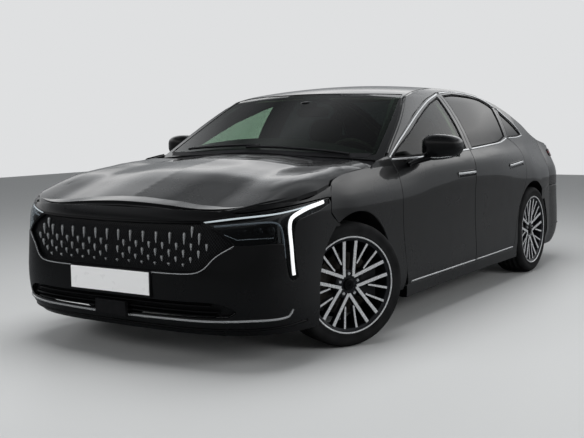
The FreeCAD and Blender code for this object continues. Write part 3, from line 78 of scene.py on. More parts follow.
# Heights between which the lower taper gives way to that of the belt
taper_band = (0.50, 0.66)
hood_line = [
    (0.05, 0.535), (0.092, 0.547), (0.142, 0.559), (0.361, 0.605), (0.505, 0.634),
    (0.607, 0.651), (0.747, 0.664), (1.018, 0.685), (1.112, 0.699),
]
screen_line = [(1.105, 0.699), (1.173, 0.764), (1.245, 0.833), (1.316, 0.901), (1.371, 0.953)]
roof_line = [
    (1.371, 0.953), (1.423, 0.973), (1.5, 0.989), (1.589, 0.998), (1.696, 0.998),
    (1.78, 0.986), (1.839, 0.969),
]
back_line = [(1.839, 0.969), (1.923, 0.935), (2.0, 0.888), (2.206, 0.824), (2.413, 0.759)]
deck_line = [(2.413, 0.759), (2.537, 0.736), (2.72, 0.717), (2.97, 0.703)]
hood_crown = [
    (0.0, 0.0), (0.22, 0.004), (0.43, 0.016), (0.58, 0.024), (0.71, 0.023), (0.82, 0.024),
    (0.87, 0.031), (0.924, 0.050), (0.962, 0.082),
]
roof_crown = 0.059
screen_crown = 0.11
nose_rake = [
    (0.112, 0.075), (0.168, 0.020), (0.294, 0.0), (0.35, 0.002), (0.434, 0.010),
    (0.500, 0.021), (0.514, 0.028), (0.547, 0.058), (0.565, 0.080),
]
tail_rake = [
    (0.112, 0.085), (0.168, 0.030), (0.294, 0.0), (0.42, 0.010), (0.52, 0.035), (0.62, 0.045),
    (0.70, 0.030), (0.72, 0.055),
]
nose_start, nose_power = 0.783, 3.5
tail_start, tail_power = 2.445, 3.2
# How much of the outlines' parameter runs back along the side, past either corner
wing_turn = 0.24


def smooth(table, t):
    """Monotone cubic through the table's points, for an array t; its tangent at a point is the weighted
    harmonic mean of the slopes beside it, and level where they differ in sign."""
    x, y = np.array(table, float).T
    t = np.clip(t, x[0], x[-1])
    step = np.diff(x)
    slope = np.diff(y) / step
    tangent = np.concatenate([slope[:1], np.zeros(len(x) - 2), slope[-1:]])
    same = slope[:-1] * slope[1:] > 0
    w1 = 2 * step[1:] + step[:-1]
    w2 = step[1:] + 2 * step[:-1]
    safe0 = np.where(same, slope[:-1], 1.0)
    safe1 = np.where(same, slope[1:], 1.0)
    tangent[1:-1] = np.where(same, (w1 + w2) / (w1 / safe0 + w2 / safe1), 0.0)
    i = np.clip(np.searchsorted(x, t, side="right") - 1, 0, len(x) - 2)
    s = (t - x[i]) / step[i]
    return (
        (1 + 2 * s) * (1 - s) ** 2 * y[i] + s * (1 - s) ** 2 * step[i] * tangent[i]
        + s * s * (3 - 2 * s) * y[i + 1] + s * s * (s - 1) * step[i] * tangent[i + 1]
    )


def faired(table, blur):
    """The curve drawn densely and averaged with a bell of width blur, so its bend changes gently."""
    x0, x1 = table[0][0], table[-1][0]
    n = 1600
    grid = np.linspace(x0, x1, n)
    y = smooth(table, grid)
    pad = n // 4
    first = y[0] + (y[1] - y[0]) * np.arange(-pad, 0)
    last = y[-1] + (y[-1] - y[-2]) * np.arange(1, pad + 1)
    wide = np.concatenate([first, y, last])
    reach = int(3 * blur / (grid[1] - grid[0])) + 1
    bell = np.exp(-0.5 * (np.arange(-reach, reach + 1) * (grid[1] - grid[0]) / blur) ** 2)
    full = np.convolve(wide, bell / bell.sum(), mode="same")
    return grid, full[pad:pad + n]


curves = {
    "profile": faired(profile, 0.012),
    "lower": faired(lower_taper, 0.035),
    "belt": faired(belt_taper, 0.035),
    "hood": faired(hood_line, 0.020),
    "screen": faired(screen_line, 0.012),
    "roof": faired(roof_line, 0.020),
    "back": faired(back_line, 0.024),
    "deck": faired(deck_line, 0.024),
    "crown": faired(hood_crown, 0.022),
    "nose": faired(nose_rake, 0.010),
    "tail": faired(tail_rake, 0.010),
}


def curve(name, t):
    """Value of a faired curve at t, straight between its close points."""
    return np.interp(t, *curves[name])


def along(u):
    """Y of a station."""
    u = np.asarray(u, float)
    return np.where(
        u <= 1, nose_y + u * front_overhang,
        np.where(u <= 2, front_axle + (u - 1) * wheelbase, rear_axle + (u - 2) * rear_overhang),
    )


def station(y):
    """Station of a Y."""
    y = np.asarray(y, float)
    return np.where(
        y <= front_axle, (y - nose_y) / front_overhang,
        np.where(y <= rear_axle, 1 + (y - front_axle) / wheelbase, 2 + (y - rear_axle) / rear_overhang),
    )


def side_x(y, z):
    """Half width of the body: the section's profile times a taper that blends from sill to belt."""
    u = station(y)
    h = np.asarray(z, float) / height
    s = np.clip((h - taper_band[0]) / (taper_band[1] - taper_band[0]), 0, 1)
    blend = s * s * (3 - 2 * s)
    taper = (1 - blend) * curve("lower", u) + blend * curve("belt", u)
    return half_width * curve("profile", h) * taper


def hood_z(x, y):
    """Height of the hood: its centre line less its crown's drop at a share of the half width."""
    return height * (curve("hood", station(y)) - curve("crown", np.abs(x) / half_width))


def arched(line):
    """Height of a centre line with a parabola across the car."""
    return lambda x, y: height * (curve(line, station(y)) - roof_crown * (x / half_width) ** 2)


deck_z = arched("deck")
roof_z = arched("roof")
back_z = arched("back")


def screen_z(x, y):
    """Height of the windscreen: its centre line less a parabola, which is deeper at the base."""
    u = station(y)
    s = np.clip((u - screen_line[0][0]) / (screen_line[-1][0] - screen_line[0][0]), 0, 1)
    crown = screen_crown + (roof_crown - screen_crown) * s
    return height * (curve("screen", u) - crown * (x / half_width) ** 2)


def end_point(t, z, start_u, rake, power, side):
    """Plan outline of nose or tail: a superellipse ahead of its start, then back along the side."""
    t, z = np.broadcast_arrays(np.asarray(t, float), np.asarray(z, float))
    start = float(along(start_u))
    reach = abs((nose_y if side < 0 else tail_y) - start) - height * curve(rake, z / height)
    a = np.clip(np.abs(t), 0, 1) * np.pi / 2
    half = side_x(start, z)
    x = half * np.sin(a) ** (2 / power)
    y = start + side * reach * np.cos(a) ** (2 / power)
    past = np.abs(t) > 1
    wing_y = start - side * (np.abs(t) - 1) / wing_turn * wing_length[side]
    x = np.where(past, side_x(wing_y, z), x)
    y = np.where(past, wing_y, y)
    return np.stack([x * np.where(t < 0, -1, 1), y, z], -1)


# How far nose and tail outlines run back along the side
wing_length = {
    -1: float(along(0.93) - along(nose_start)),
    1: float(along(tail_start) - along(2.08)),
}


def nose_point(t, z):
    """Nose outline: t is -1 at the right corner, 0 ahead and 1 at the left corner."""
    return end_point(t, z, nose_start, "nose", nose_power, -1)


def tail_point(t, z):
    """Tail outline, t as for the nose."""
    return end_point(t, z, tail_start, "tail", tail_power, 1)


def end_t_at_y(y, z, side):
    """Plan parameter of nose or tail at a place along the car, left side."""
    start = float(along(nose_start if side < 0 else tail_start))
    rake, power = ("nose", nose_power) if side < 0 else ("tail", tail_power)
    lean = height * curve(rake, np.asarray(z, float) / height)
    reach = abs((nose_y if side < 0 else tail_y) - start) - lean
    ahead = side * (np.asarray(y, float) - start)
    inner = 2 / np.pi * np.arccos(np.clip(ahead / reach, 0, 1) ** (power / 2))
    return np.where(ahead > 0, inner, 1 - ahead / wing_length[side] * wing_turn)


# Shapes


def unit(v):
    """Vectors divided by their lengths."""
    return v / np.maximum(np.linalg.norm(v, axis=-1, keepdims=True), 1e-12)


def piece(name, verts, faces, body, material, slot, normals=None, stands_for=(), smooth_all=True):
    """A mesh object from vertex and face arrays, riding on a body. normals are per face corner."""
    mesh = bpy.data.meshes.new(name)
    flat = [f for group in faces for f in np.asarray(group).tolist()]
    mesh.from_pydata(np.asarray(verts, float).tolist(), [], flat)
    mesh.polygons.foreach_set("use_smooth", [smooth_all] * len(mesh.polygons))
    if normals is not None:
        mesh.normals_split_custom_set(np.asarray(normals, float).tolist())
    mesh.update()
    obj = bpy.data.objects.new(name, mesh)
    bpy.context.scene.collection.objects.link(obj)
    mesh.materials.append(material)
    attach(obj, body)
    if stands_for:
        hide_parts(*stands_for)


def curve_through(points, step):
    """Centripetal spline through the points, drawn step apart; two points give a line."""
    p = np.asarray(points, float)
    if len(p) == 2:
        n = max(2, int(np.ceil(np.linalg.norm(p[1] - p[0]) / step)) + 1)
        return p[0] + (p[1] - p[0]) * np.linspace(0, 1, n)[:, None]
    wide = np.vstack([2 * p[0] - p[1], p, 2 * p[-1] - p[-2]])
    out = []
    for i in range(len(p) - 1):
        a, b, c, d = wide[i:i + 4]
        k1, k2, k3 = (max(1e-6, np.linalg.norm(q - r)) ** 0.5 for q, r in ((b, a), (c, b), (d, c)))
        m1 = (c - b) - k2 * ((c - a) / (k1 + k2) - (b - a) / k1)
        m2 = (c - b) + k2 * ((d - c) / k3 - (d - b) / (k2 + k3))
        s = np.linspace(0, 1, max(2, int(np.ceil(np.linalg.norm(c - b) / step)) + 1))[:-1, None]
        out.append((2 * s ** 3 - 3 * s ** 2 + 1) * b + (s ** 3 - 2 * s ** 2 + s) * m1
                   + (3 * s ** 2 - 2 * s ** 3) * c + (s ** 3 - s ** 2) * m2)
    return np.vstack(out + [p[-1:]])


# Outlines are drawn draw_step apart, then thinned to a point for each thin_step or thin_turn (radians)
draw_step, thin_step, thin_turn = 0.003, 0.016, 0.16


def twice_area(line):
    """Twice the area inside a closed polyline, positive when it runs counterclockwise."""
    return np.sum(line[:, 0] * np.roll(line[:, 1], -1) - np.roll(line[:, 0], -1) * line[:, 1])


def closed_loop(*runs, radius=0.006):
    """Closed outline from smooth runs that meet in corners, its corners rounded by a moving average,
    redrawn counterclockwise with points close together where it bends."""
    drawn = [curve_through(run, draw_step) for run in runs]
    line = np.vstack([line[:-1] if np.allclose(run[-1], after[0]) else line
                      for line, run, after in zip(drawn, runs, runs[1:] + runs[:1])])
    line = line if twice_area(line) > 0 else line[::-1]
    line = evenly(line, draw_step)
    reach = max(1, int(round(radius / draw_step)))
    bell = np.exp(-0.5 * (np.arange(-3 * reach, 3 * reach + 1) / (0.7 * reach)) ** 2)
    bell /= bell.sum()
    wide = np.vstack([line[-3 * reach:], line, line[:3 * reach]])
    line = np.stack([np.convolve(wide[:, k], bell, mode="valid") for k in (0, 1)], -1)
    return thinned(line)


def evenly(line, step):
    """Closed polyline redrawn with even spacing."""
    ring = np.vstack([line, line[:1]])
    s = np.concatenate([[0], np.cumsum(np.linalg.norm(np.diff(ring, axis=0), axis=1))])
    n = max(8, int(round(s[-1] / step)))
    t = np.linspace(0, s[-1], n, endpoint=False)
    return np.stack([np.interp(t, s, ring[:, k]) for k in range(ring.shape[1])], -1)


def thinned(line):
    """Closed polyline with points where its length and its turning, each over its step, add up to 1."""
    d = np.roll(line, -1, axis=0) - line
    heading = np.unwrap(np.arctan2(d[:, 1], d[:, 0]))
    bend = np.abs(np.diff(np.append(heading, heading[0] + 2 * np.pi)))
    cost = np.linalg.norm(d, axis=1) / thin_step + bend / thin_turn
    s = np.concatenate([[0], np.cumsum(cost)])
    n = max(8, int(np.ceil(s[-1])))
    ring = np.vstack([line, line[:1]])
    t = np.linspace(0, s[-1], n, endpoint=False)
    return np.stack([np.interp(t, s, ring[:, k]) for k in (0, 1)], -1)


def outward(loop):
    """Unit normals in the plane, pointing right of the loop's way round."""
    d = unit(np.roll(loop, -1, axis=0) - np.roll(loop, 1, axis=0))
    return np.stack([d[:, 1], -d[:, 0]], -1)


def inside(points, loop):
    """True for points within a closed loop, by counting crossings."""
    a, b = loop, np.roll(loop, -1, axis=0)
    result = np.zeros(len(points), bool)
    for k in range(0, len(points), 4000):
        p = points[k:k + 4000, None]
        cross = (a[:, 1] > p[..., 1]) != (b[:, 1] > p[..., 1])
        rise = np.where(b[:, 1] == a[:, 1], 1, b[:, 1] - a[:, 1])
        at = a[:, 0] + (p[..., 1] - a[:, 1]) * (b[:, 0] - a[:, 0]) / rise
        result[k:k + 4000] = (cross & (p[..., 0] < at)).sum(1) % 2 == 1
    return result


def triangulated(loops, spacing):
    """Flat triangle net: the first loop less the others, with a staggered grid of points inside."""
    low, high = loops[0].min(0), loops[0].max(0)
    ys = np.arange(low[1], high[1], spacing * 0.866)
    xs = np.arange(low[0], high[0], spacing)
    grid = np.array(np.meshgrid(xs, ys)).transpose(1, 2, 0)
    grid[1::2, :, 0] += spacing / 2
    grid = grid.reshape(-1, 2)
    keep = inside(grid, loops[0])
    for hole in loops[1:]:
        keep &= ~inside(grid, hole)
    grid = grid[keep]
    rim = np.vstack(loops)
    near = np.full(len(grid), np.inf)
    for k in range(0, len(rim), 400):
        d = np.linalg.norm(grid[:, None] - rim[None, k:k + 400], axis=-1).min(1)
        near = np.minimum(near, d)
    grid = grid[near > 0.45 * spacing]
    points = np.vstack([rim, grid])
    edges, first = [], 0
    for loop in loops:
        n = len(loop)
        edges += [(first + i, first + (i + 1) % n) for i in range(n)]
        first += n
    out = delaunay_2d_cdt([Vector(p) for p in points.tolist()], edges, [], 0, 1e-7)
    flat = np.array([tuple(v) for v in out[0]])
    tris = np.array(out[2])
    centre = flat[tris].mean(1)
    keep = inside(centre, loops[0])
    for hole in loops[1:]:
        keep &= ~inside(centre, hole)
    tris = tris[keep]
    a, b, c = flat[tris[:, 0]], flat[tris[:, 1]], flat[tris[:, 2]]
    turn = (b[:, 0] - a[:, 0]) * (c[:, 1] - a[:, 1]) - (c[:, 0] - a[:, 0]) * (b[:, 1] - a[:, 1])
    tris[turn < 0] = tris[turn < 0][:, ::-1]
    tris = tris[np.abs(turn) > 1e-12]
    return flat, tris


def surface_normal(place, a, b, delta=0.0015):
    """Unit normal of a surface by central differences."""
    da = place(a + delta, b) - place(a - delta, b)
    db = place(a, b + delta) - place(a, b - delta)
    return unit(np.cross(da, db))


# How far past its rim a panel looks for the way its edge faces
side_look = 0.001


def shell(name, loops, place, body, material, slot, depth, lip=0.002, spacing=0.028,
          hand=1, raised=0.0, stands_for=(), steps=3):
    """A panel: the surface place(a, b), raised along its normals and trimmed by the first loop
    less the others. Its rims roll over a quarter circle of radius lip, in steps, and run in to
    depth, where the same surface closes it. lip may be a function of the outline's points.
    hand -1 mirrors the panel to the car's other side."""
    rolls = [lip(h) if callable(lip) else np.full((len(h), 1), lip) for h in loops]
    trimmed = [h + outward(h) * r * (1 if k else -1) for k, (h, r) in enumerate(zip(loops, rolls))]
    flat, tris = triangulated(trimmed, spacing)
    p = place(flat[:, 0], flat[:, 1])
    n = surface_normal(place, flat[:, 0], flat[:, 1])
    p = p + n * raised
    count = len(p)
    verts, rims = [p], []
    quads, quad_n = [], []
    first, total = 0, count
    for k, loop in enumerate(trimmed):
        m = len(loop)
        at = np.arange(first, first + m)
        first += m
        roll_radius = rolls[k]
        way = outward(loop) * (1.0 if k == 0 else -1.0)
        ahead = place(*(loop + way * side_look).T) + n[at] * raised
        side = ahead - p[at]
        side = unit(side - n[at] * np.sum(side * n[at], -1, keepdims=True))
        rows, row_normals = [at], [n[at]]
        for j in range(1, steps + 1):
            angle = np.pi / 2 * j / steps
            verts.append(p[at] + roll_radius * (side * np.sin(angle) - n[at] * (1 - np.cos(angle))))
            row_normals.append(side * np.sin(angle) + n[at] * np.cos(angle))
            rows.append(total + np.arange(m))
            total += m
        foot = p[at] + side * roll_radius - n[at] * np.maximum(roll_radius, depth)
        verts.append(foot)
        row_normals.append(side)
        rows.append(total + np.arange(m))
        total += m
        for r0, r1, n0, n1 in zip(rows, rows[1:], row_normals, row_normals[1:]):
            q = np.stack([r0, r1, np.roll(r1, -1), np.roll(r0, -1)], -1)
            qn = np.stack([n0, n1, np.roll(n1, -1, 0), np.roll(n0, -1, 0)], 1)
            if k:
                q, qn = q[:, ::-1], qn[:, ::-1]
            quads.append(q)
            quad_n.append(qn)
        rims.append((at, rows[-1]))
    corner_n = [n[tris].reshape(-1, 3)]
    faces = [tris]
    remap = np.arange(count) + total
    verts.append(p - n * depth)
    for at, last in rims:
        remap[at] = last
    faces.append(remap[tris][:, ::-1])
    corner_n.append(-n[tris[:, ::-1]].reshape(-1, 3))
    faces.append(np.vstack(quads))
    corner_n.append(np.vstack(quad_n).reshape(-1, 3))
    verts = np.vstack(verts)
    if hand < 0:
        verts = verts * (-1, 1, 1)
        corner_n = [(c * (-1, 1, 1)).reshape(-1, f.shape[1], 3)[:, ::-1].reshape(-1, 3)
                    for c, f in zip(corner_n, faces)]
        faces = [f[:, ::-1] for f in faces]
    used = np.unique(np.concatenate([f.ravel() for f in faces]))
    index = np.full(len(verts), -1)
    index[used] = np.arange(len(used))
    piece(name, verts[used], [index[f] for f in faces], body, material, slot, np.vstack(corner_n), stands_for)


def tube_faces(rows, cols, ring=False):
    """Quads between rows of points whose columns close on themselves; a ring's rows do so too."""
    i, j = np.meshgrid(np.arange(rows if ring else rows - 1), np.arange(cols), indexing="ij")
    i, j = i.ravel(), j.ravel()
    i1, j1 = (i + 1) % rows, (j + 1) % cols
    return np.stack([i * cols + j, i1 * cols + j, i1 * cols + j1, i * cols + j1], -1)


def end_faces(rows, cols):
    """The flat faces of a tube's first and last rows."""
    return [np.arange(cols)[None], (rows - 1) * cols + np.arange(cols)[None, ::-1]]


def merged(parts):
    """Vertex and face arrays of several meshes as one."""
    verts, faces, base = [], [], 0
    for v, groups in parts:
        v = np.asarray(v, float).reshape(-1, 3)
        verts.append(v)
        faces += [np.asarray(g) + base for g in groups if len(g)]
        base += len(v)
    return np.vstack(verts), faces


def frames_along(path, up_hint):
    """Side and top of a path: across its tangent, top being nearest to the hint."""
    p = np.asarray(path, float)
    tangent = unit(np.gradient(p, axis=0))
    hint = np.broadcast_to(np.asarray(up_hint, float), p.shape)
    side = unit(np.cross(tangent, hint))
    return side, np.cross(side, tangent)


def swept(path, section, up_hint=(0, 0, 1), scale=None):
    """A closed section (side, top) carried along a path, grown by scale, with flat ends."""
    p = np.asarray(path, float)
    side, top = frames_along(p, up_hint)
    s = np.asarray(section, float)
    s = s if twice_area(s) > 0 else s[::-1]
    grow = np.ones(len(p)) if scale is None else np.asarray(scale, float)
    offset = side[:, None] * s[None, :, :1] + top[:, None] * s[None, :, 1:]
    verts = p[:, None] + grow[:, None, None] * offset
    return verts.reshape(-1, 3), [tube_faces(len(p), len(s))[:, ::-1]] + end_faces(len(p), len(s))


def turned(section, axis_point, axis, count):
    """A closed section (radius, place along the axis) turned round an axis in count steps."""
    axis = unit(np.asarray(axis, float))
    ref = unit(np.cross(axis, (0.0, 0.0, 1.0)))
    other = np.cross(axis, ref)
    angle = np.linspace(0, 2 * np.pi, count, endpoint=False)
    s = np.asarray(section, float)
    verts = (np.asarray(axis_point, float) + axis * s[None, :, 1:]
             + s[None, :, :1] * (np.cos(angle)[:, None, None] * ref + np.sin(angle)[:, None, None] * other))
    return verts.reshape(-1, 3), [tube_faces(count, len(s), ring=True)]


def rounded(width, depth, radius):
    """Rounded rectangle section about its middle, four points to a corner."""
    angle = np.linspace(0, np.pi / 2, 4)
    r = min(radius, width / 2, depth / 2)
    corner = np.stack([np.cos(angle), np.sin(angle)], -1) * r
    out = []
    for k, (sx, sy) in enumerate(((1, 1), (-1, 1), (-1, -1), (1, -1))):
        turn = k * np.pi / 2
        rot = np.array([[np.cos(turn), np.sin(turn)], [-np.sin(turn), np.cos(turn)]])
        out.append(corner @ rot + (sx * (width / 2 - r), sy * (depth / 2 - r)))
    return np.vstack(out)


def handed(data, hand):
    """The mesh as it is for the left, or mirrored for the right with its faces turned back outwards."""
    verts, faces = data
    return (verts, faces) if hand > 0 else (verts * (-1, 1, 1), [np.asarray(f)[:, ::-1] for f in faces])


# Materials


def linear(code):
    """Linear colour of an sRGB hex value."""
    c = np.array([int(code[i:i + 2], 16) / 255 for i in (1, 3, 5)])
    c = np.where(c <= 0.04045, c / 12.92, ((c + 0.055) / 1.055) ** 2.4)
    return (*c.tolist(), 1.0)


def add(tree, kind, inputs=None, **settings):
    """Add a node; inputs gives its sockets values, or the sockets that feed them."""
    node = tree.nodes.new("ShaderNode" + kind)
    for key, value in settings.items():
        setattr(node, key, value)
    for key, value in (inputs or {}).items():
        if isinstance(value, bpy.types.NodeSocket):
            tree.links.new(value, node.inputs[key])
        else:
            node.inputs[key].default_value = value
    return node


def finish(name, colour, rough, **extra):
    """A material with one Principled shader; returns it with its tree and shader."""
    made = bpy.data.materials.new(name)
    made.use_nodes = True
    tree = made.node_tree
    shader = tree.nodes["Principled BSDF"]
    shader.inputs["Base Color"].default_value = linear(colour)
    shader.inputs["Roughness"].default_value = rough
    for key, value in extra.items():
        shader.inputs[key.replace("_", " ")].default_value = value
    return made, tree, shader


def set_ramp(node, *stops):
    """Gives a colour ramp its stops: places and hex values, from low to high."""
    elements = node.color_ramp.elements
    for element, (at, code) in zip(elements, (stops[0], stops[-1])):
        element.position, element.color = at, linear(code)
    for at, code in stops[1:-1]:
        elements.new(at).color = linear(code)


def raised_by(tree, shader, height_socket, relief):
    """Feeds a height, relief metres deep, to the shader's normal."""
    bump = add(tree, "Bump", {"Height": height_socket, "Distance": relief})
    tree.links.new(bump.outputs["Normal"], shader.inputs["Normal"])


def lumps(tree, cell, detail=3.0):
    """Noise on object coordinates whose lumps are cell metres across."""
    place = add(tree, "TexCoord")
    return add(tree, "TexNoise", {"Vector": place.outputs["Object"], "Scale": 1 / cell, "Detail": detail})


def grained(tree, shader, cell, relief, detail=3.0):
    """A relief of lumps cell metres across and relief metres deep."""
    raised_by(tree, shader, lumps(tree, cell, detail).outputs["Fac"], relief)


def varied(tree, shader, socket, cell, low, high):
    """A socket that wanders between two values or two hex colours with lumps cell metres across."""
    noise = lumps(tree, cell)
    if isinstance(low, str):
        span = add(tree, "ValToRGB", {"Fac": noise.outputs["Fac"]})
        set_ramp(span, (0.35, low), (0.65, high))
        tree.links.new(span.outputs["Color"], shader.inputs[socket])
    else:
        span = add(tree, "MapRange", {"Value": noise.outputs["Fac"], "From Min": 0.3, "From Max": 0.7,
                                      "To Min": low, "To Max": high})
        tree.links.new(span.outputs["Result"], shader.inputs[socket])


# Acrylic enamel under clear coat, sprayed and baked: mirror-like with a faint orange peel 4 mm across
paint, tree, shader = finish("black_clear_coated_enamel", "#060607", 0.28, Coat_Weight=1.0,
                             Coat_Roughness=0.015)
varied(tree, shader, "Roughness", 0.25, 0.24, 0.34)
grained(tree, shader, 0.004, 0.000012, 2.0)

# Acrylonitrile panels polished to a piano black: gloss, a little softer than the paint
gloss_plastic, tree, shader = finish("polished_black_plastic", "#050506", 0.06)
varied(tree, shader, "Roughness", 0.08, 0.05, 0.10)

# Grained polypropylene, moulded against an etched tool: dull, with 1 mm grain
grained_plastic, tree, shader = finish("grained_black_polypropylene", "#121214", 0.55)
varied(tree, shader, "Base Color", 0.06, "#0f0f11", "#161618")
grained(tree, shader, 0.0012, 0.00006, 2.0)

# Chrome plate over plastic: a hard bright mirror
chrome, tree, shader = finish("bright_chrome_plate", "#eceef0", 0.08, Metallic=0.75)
varied(tree, shader, "Roughness", 0.05, 0.05, 0.09)

# Chrome plate with a darker satin top layer
dark_chrome, tree, shader = finish("satin_dark_chrome", "#a6aab0", 0.22, Metallic=0.6)
varied(tree, shader, "Roughness", 0.04, 0.16, 0.24)

# Underbody steel: electrocoat and stone-chip wax, satin and slightly lumpy
coated_steel, tree, shader = finish("wax_coated_steel", "#17181a", 0.5)
varied(tree, shader, "Base Color", 0.12, "#121315", "#1f2022")
grained(tree, shader, 0.008, 0.0003)

# Carbon-filled rubber, moulded: matt with faint bloom
rubber, tree, shader = finish("moulded_tyre_rubber", "#151516", 0.72)
varied(tree, shader, "Base Color", 0.07, "#111112", "#1c1c1d")
grained(tree, shader, 0.0015, 0.00008)

# Cast aluminium wheel, diamond turned on its face and lacquered
turned_alloy, tree, shader = finish("diamond_turned_aluminium", "#e8eaec", 0.30, Metallic=0.45)
varied(tree, shader, "Roughness", 0.02, 0.20, 0.30)

# The wheel's pockets, painted dark grey before the face was turned
painted_alloy, tree, shader = finish("dark_painted_aluminium", "#1b1c1f", 0.35)
varied(tree, shader, "Base Color", 0.05, "#17181b", "#202125")

# Grey cast iron, turned, with a thin film of rust
cast_iron, tree, shader = finish("turned_cast_iron", "#6d6a66", 0.38, Metallic=0.9)
varied(tree, shader, "Base Color", 0.03, "#75716c", "#5c564f")

# Leather, dyed black, with a pebble grain 2 mm across
leather, tree, shader = finish("dyed_black_leather", "#1b1917", 0.42)
varied(tree, shader, "Base Color", 0.09, "#171513", "#211e1b")
grained(tree, shader, 0.0022, 0.0003, 4.0)

# Pale warm knitted headlining, with a 2 mm loop
headlining, tree, shader = finish("knitted_headlining", "#b3aca1", 0.9)
varied(tree, shader, "Base Color", 0.05, "#aba498", "#bbb4a9")
grained(tree, shader, 0.002, 0.0003, 2.0)

# Tufted nylon carpet: dull and deep
carpet, tree, shader = finish("tufted_carpet", "#17171a", 0.95)
varied(tree, shader, "Base Color", 0.01, "#121214", "#1d1d20")
grained(tree, shader, 0.003, 0.001, 2.0)


def thin_glass(name, tint):
    """Clear sheet: what is behind it shows, tinted, under a mirror that strengthens at grazing
    angles as 0.04 + 0.96 (1 - cos a)^5, on its outer face only."""
    made, tree, shader = finish(name, "#ffffff", 0.0, Metallic=1.0)
    clear = add(tree, "BsdfTransparent", {"Color": linear(tint)})
    edge = add(tree, "LayerWeight", {"Blend": 0.5})
    power = add(tree, "Math", {0: edge.outputs["Facing"], 1: 5.0}, operation="POWER")
    grown = add(tree, "Math", {0: power.outputs["Value"], 1: 0.96, 2: 0.04}, operation="MULTIPLY_ADD")
    back = add(tree, "NewGeometry")
    front = add(tree, "Math", {0: 1.0, 1: back.outputs["Backfacing"]}, operation="SUBTRACT")
    fac = add(tree, "Math", {0: grown.outputs["Value"], 1: front.outputs["Value"]}, operation="MULTIPLY")
    mix = add(tree, "MixShader", {0: fac.outputs["Value"], 1: clear.outputs["BSDF"],
                                  2: shader.outputs["BSDF"]})
    tree.links.new(mix.outputs["Shader"], tree.nodes["Material Output"].inputs["Surface"])
    return made


# Laminated and tempered soda-lime glass: green by its iron, and dark grey at the back
clear_glass = thin_glass("laminated_green_glass", "#d3dfd6")
privacy_glass = thin_glass("grey_tempered_glass", "#5c6264")
# Hard-coated polycarbonate lamp covers
lamp_cover = thin_glass("hard_coated_lamp_cover", "#e6eaec")
red_cover = thin_glass("red_lamp_cover", "#a8121a")


# Camera and stage

# Solved from the photograph: its width and focal length in pixels, place and angles
photo_width, focal_length = 584, 938.72
camera_place = np.array([3.25511, -5.77331, 1.18386])
yaw, pitch, roll = np.radians([32.8983, 5.9088, -0.7485])
ahead = np.array([-np.sin(yaw) * np.cos(pitch), np.cos(yaw) * np.cos(pitch), -np.sin(pitch)])
level = np.array([np.cos(yaw), np.sin(yaw), 0.0])
above = np.cross(level, ahead)
across = np.cos(roll) * level + np.sin(roll) * above
upward = -np.sin(roll) * level + np.cos(roll) * above
camera = bpy.data.objects.new("camera", bpy.data.cameras.new("camera"))
bpy.context.scene.collection.objects.link(camera)
camera.data.sensor_width = 36.0
camera.data.lens = focal_length / photo_width * camera.data.sensor_width
camera.data.clip_end = 200.0
turn = Matrix(np.stack([across, upward, -ahead], -1).tolist()).to_4x4()
camera.matrix_world = Matrix.Translation(camera_place.tolist()) @ turn
bpy.context.scene.camera = camera
bpy.context.scene.view_settings.view_transform = "Standard"


def lamp(name, place, target, size, power):
    """A soft white rectangular lamp facing its target, unseen in gloss."""
    light = bpy.data.lights.new(name, "AREA")
    light.shape = "RECTANGLE"
    light.size, light.size_y = size
    light.energy = power
    obj = bpy.data.objects.new(name, light)
    bpy.context.scene.collection.objects.link(obj)
    look = (Vector(target) - Vector(place)).to_track_quat("-Z", "Y")
    obj.matrix_world = Matrix.Translation(place) @ look.to_matrix().to_4x4()
    obj.visible_glossy = False


lamp("lamp_overhead", (0.0, -0.5, 5.2), (0.0, -0.3, 0.0), (3.6, 7.0), 300)
lamp("lamp_left", (6.5, -1.0, 3.2), (0.0, 0.0, 0.6), (5.0, 2.0), 160)
lamp("lamp_front", (-2.5, -7.5, 3.4), (0.0, -1.0, 0.6), (4.0, 1.6), 120)

world = bpy.data.worlds.new("studio")
bpy.context.scene.world = world
world.use_nodes = True
tree = world.node_tree
place = add(tree, "TexCoord")
part = add(tree, "SeparateXYZ", {"Vector": place.outputs["Generated"]})
# What lights the car, what the camera sees behind it, and what its gloss mirrors: bright low and behind
sky = add(tree, "ValToRGB", {"Fac": part.outputs["Z"]})
set_ramp(sky, (0.0, "#c9cbcc"), (0.6, "#8d9092"))
seen = add(tree, "LightPath")
dim = add(tree, "Background", {"Color": sky.outputs["Color"], "Strength": 0.75})
plain = add(tree, "Background", {"Color": linear("#dfe0e1"), "Strength": 1.0})
room = add(tree, "ValToRGB", {"Fac": part.outputs["Z"]})
set_ramp(room, (0.0, "#77797b"), (0.12, "#7e8082"), (0.20, "#96989a"), (0.30, "#ffffff"), (0.42, "#dcdee0"),
         (0.52, "#8c8e90"), (0.60, "#5c5e60"), (0.70, "#a4a6a8"), (0.80, "#787a7c"), (1.0, "#505254"))
behind = add(tree, "MapRange", {"Value": part.outputs["Y"], "From Min": -0.3, "From Max": 0.9,
                                "To Min": 0.25, "To Max": 1.20})
mirrored_room = add(tree, "Background", {"Color": room.outputs["Color"],
                                         "Strength": behind.outputs["Result"]})
gloss_mix = add(tree, "MixShader", {0: seen.outputs["Is Glossy Ray"], 1: dim.outputs["Background"],
                                    2: mirrored_room.outputs["Background"]})
mix = add(tree, "MixShader", {0: seen.outputs["Is Camera Ray"], 1: gloss_mix.outputs["Shader"],
                              2: plain.outputs["Background"]})
tree.links.new(mix.outputs["Shader"], tree.nodes["World Output"].inputs["Surface"])

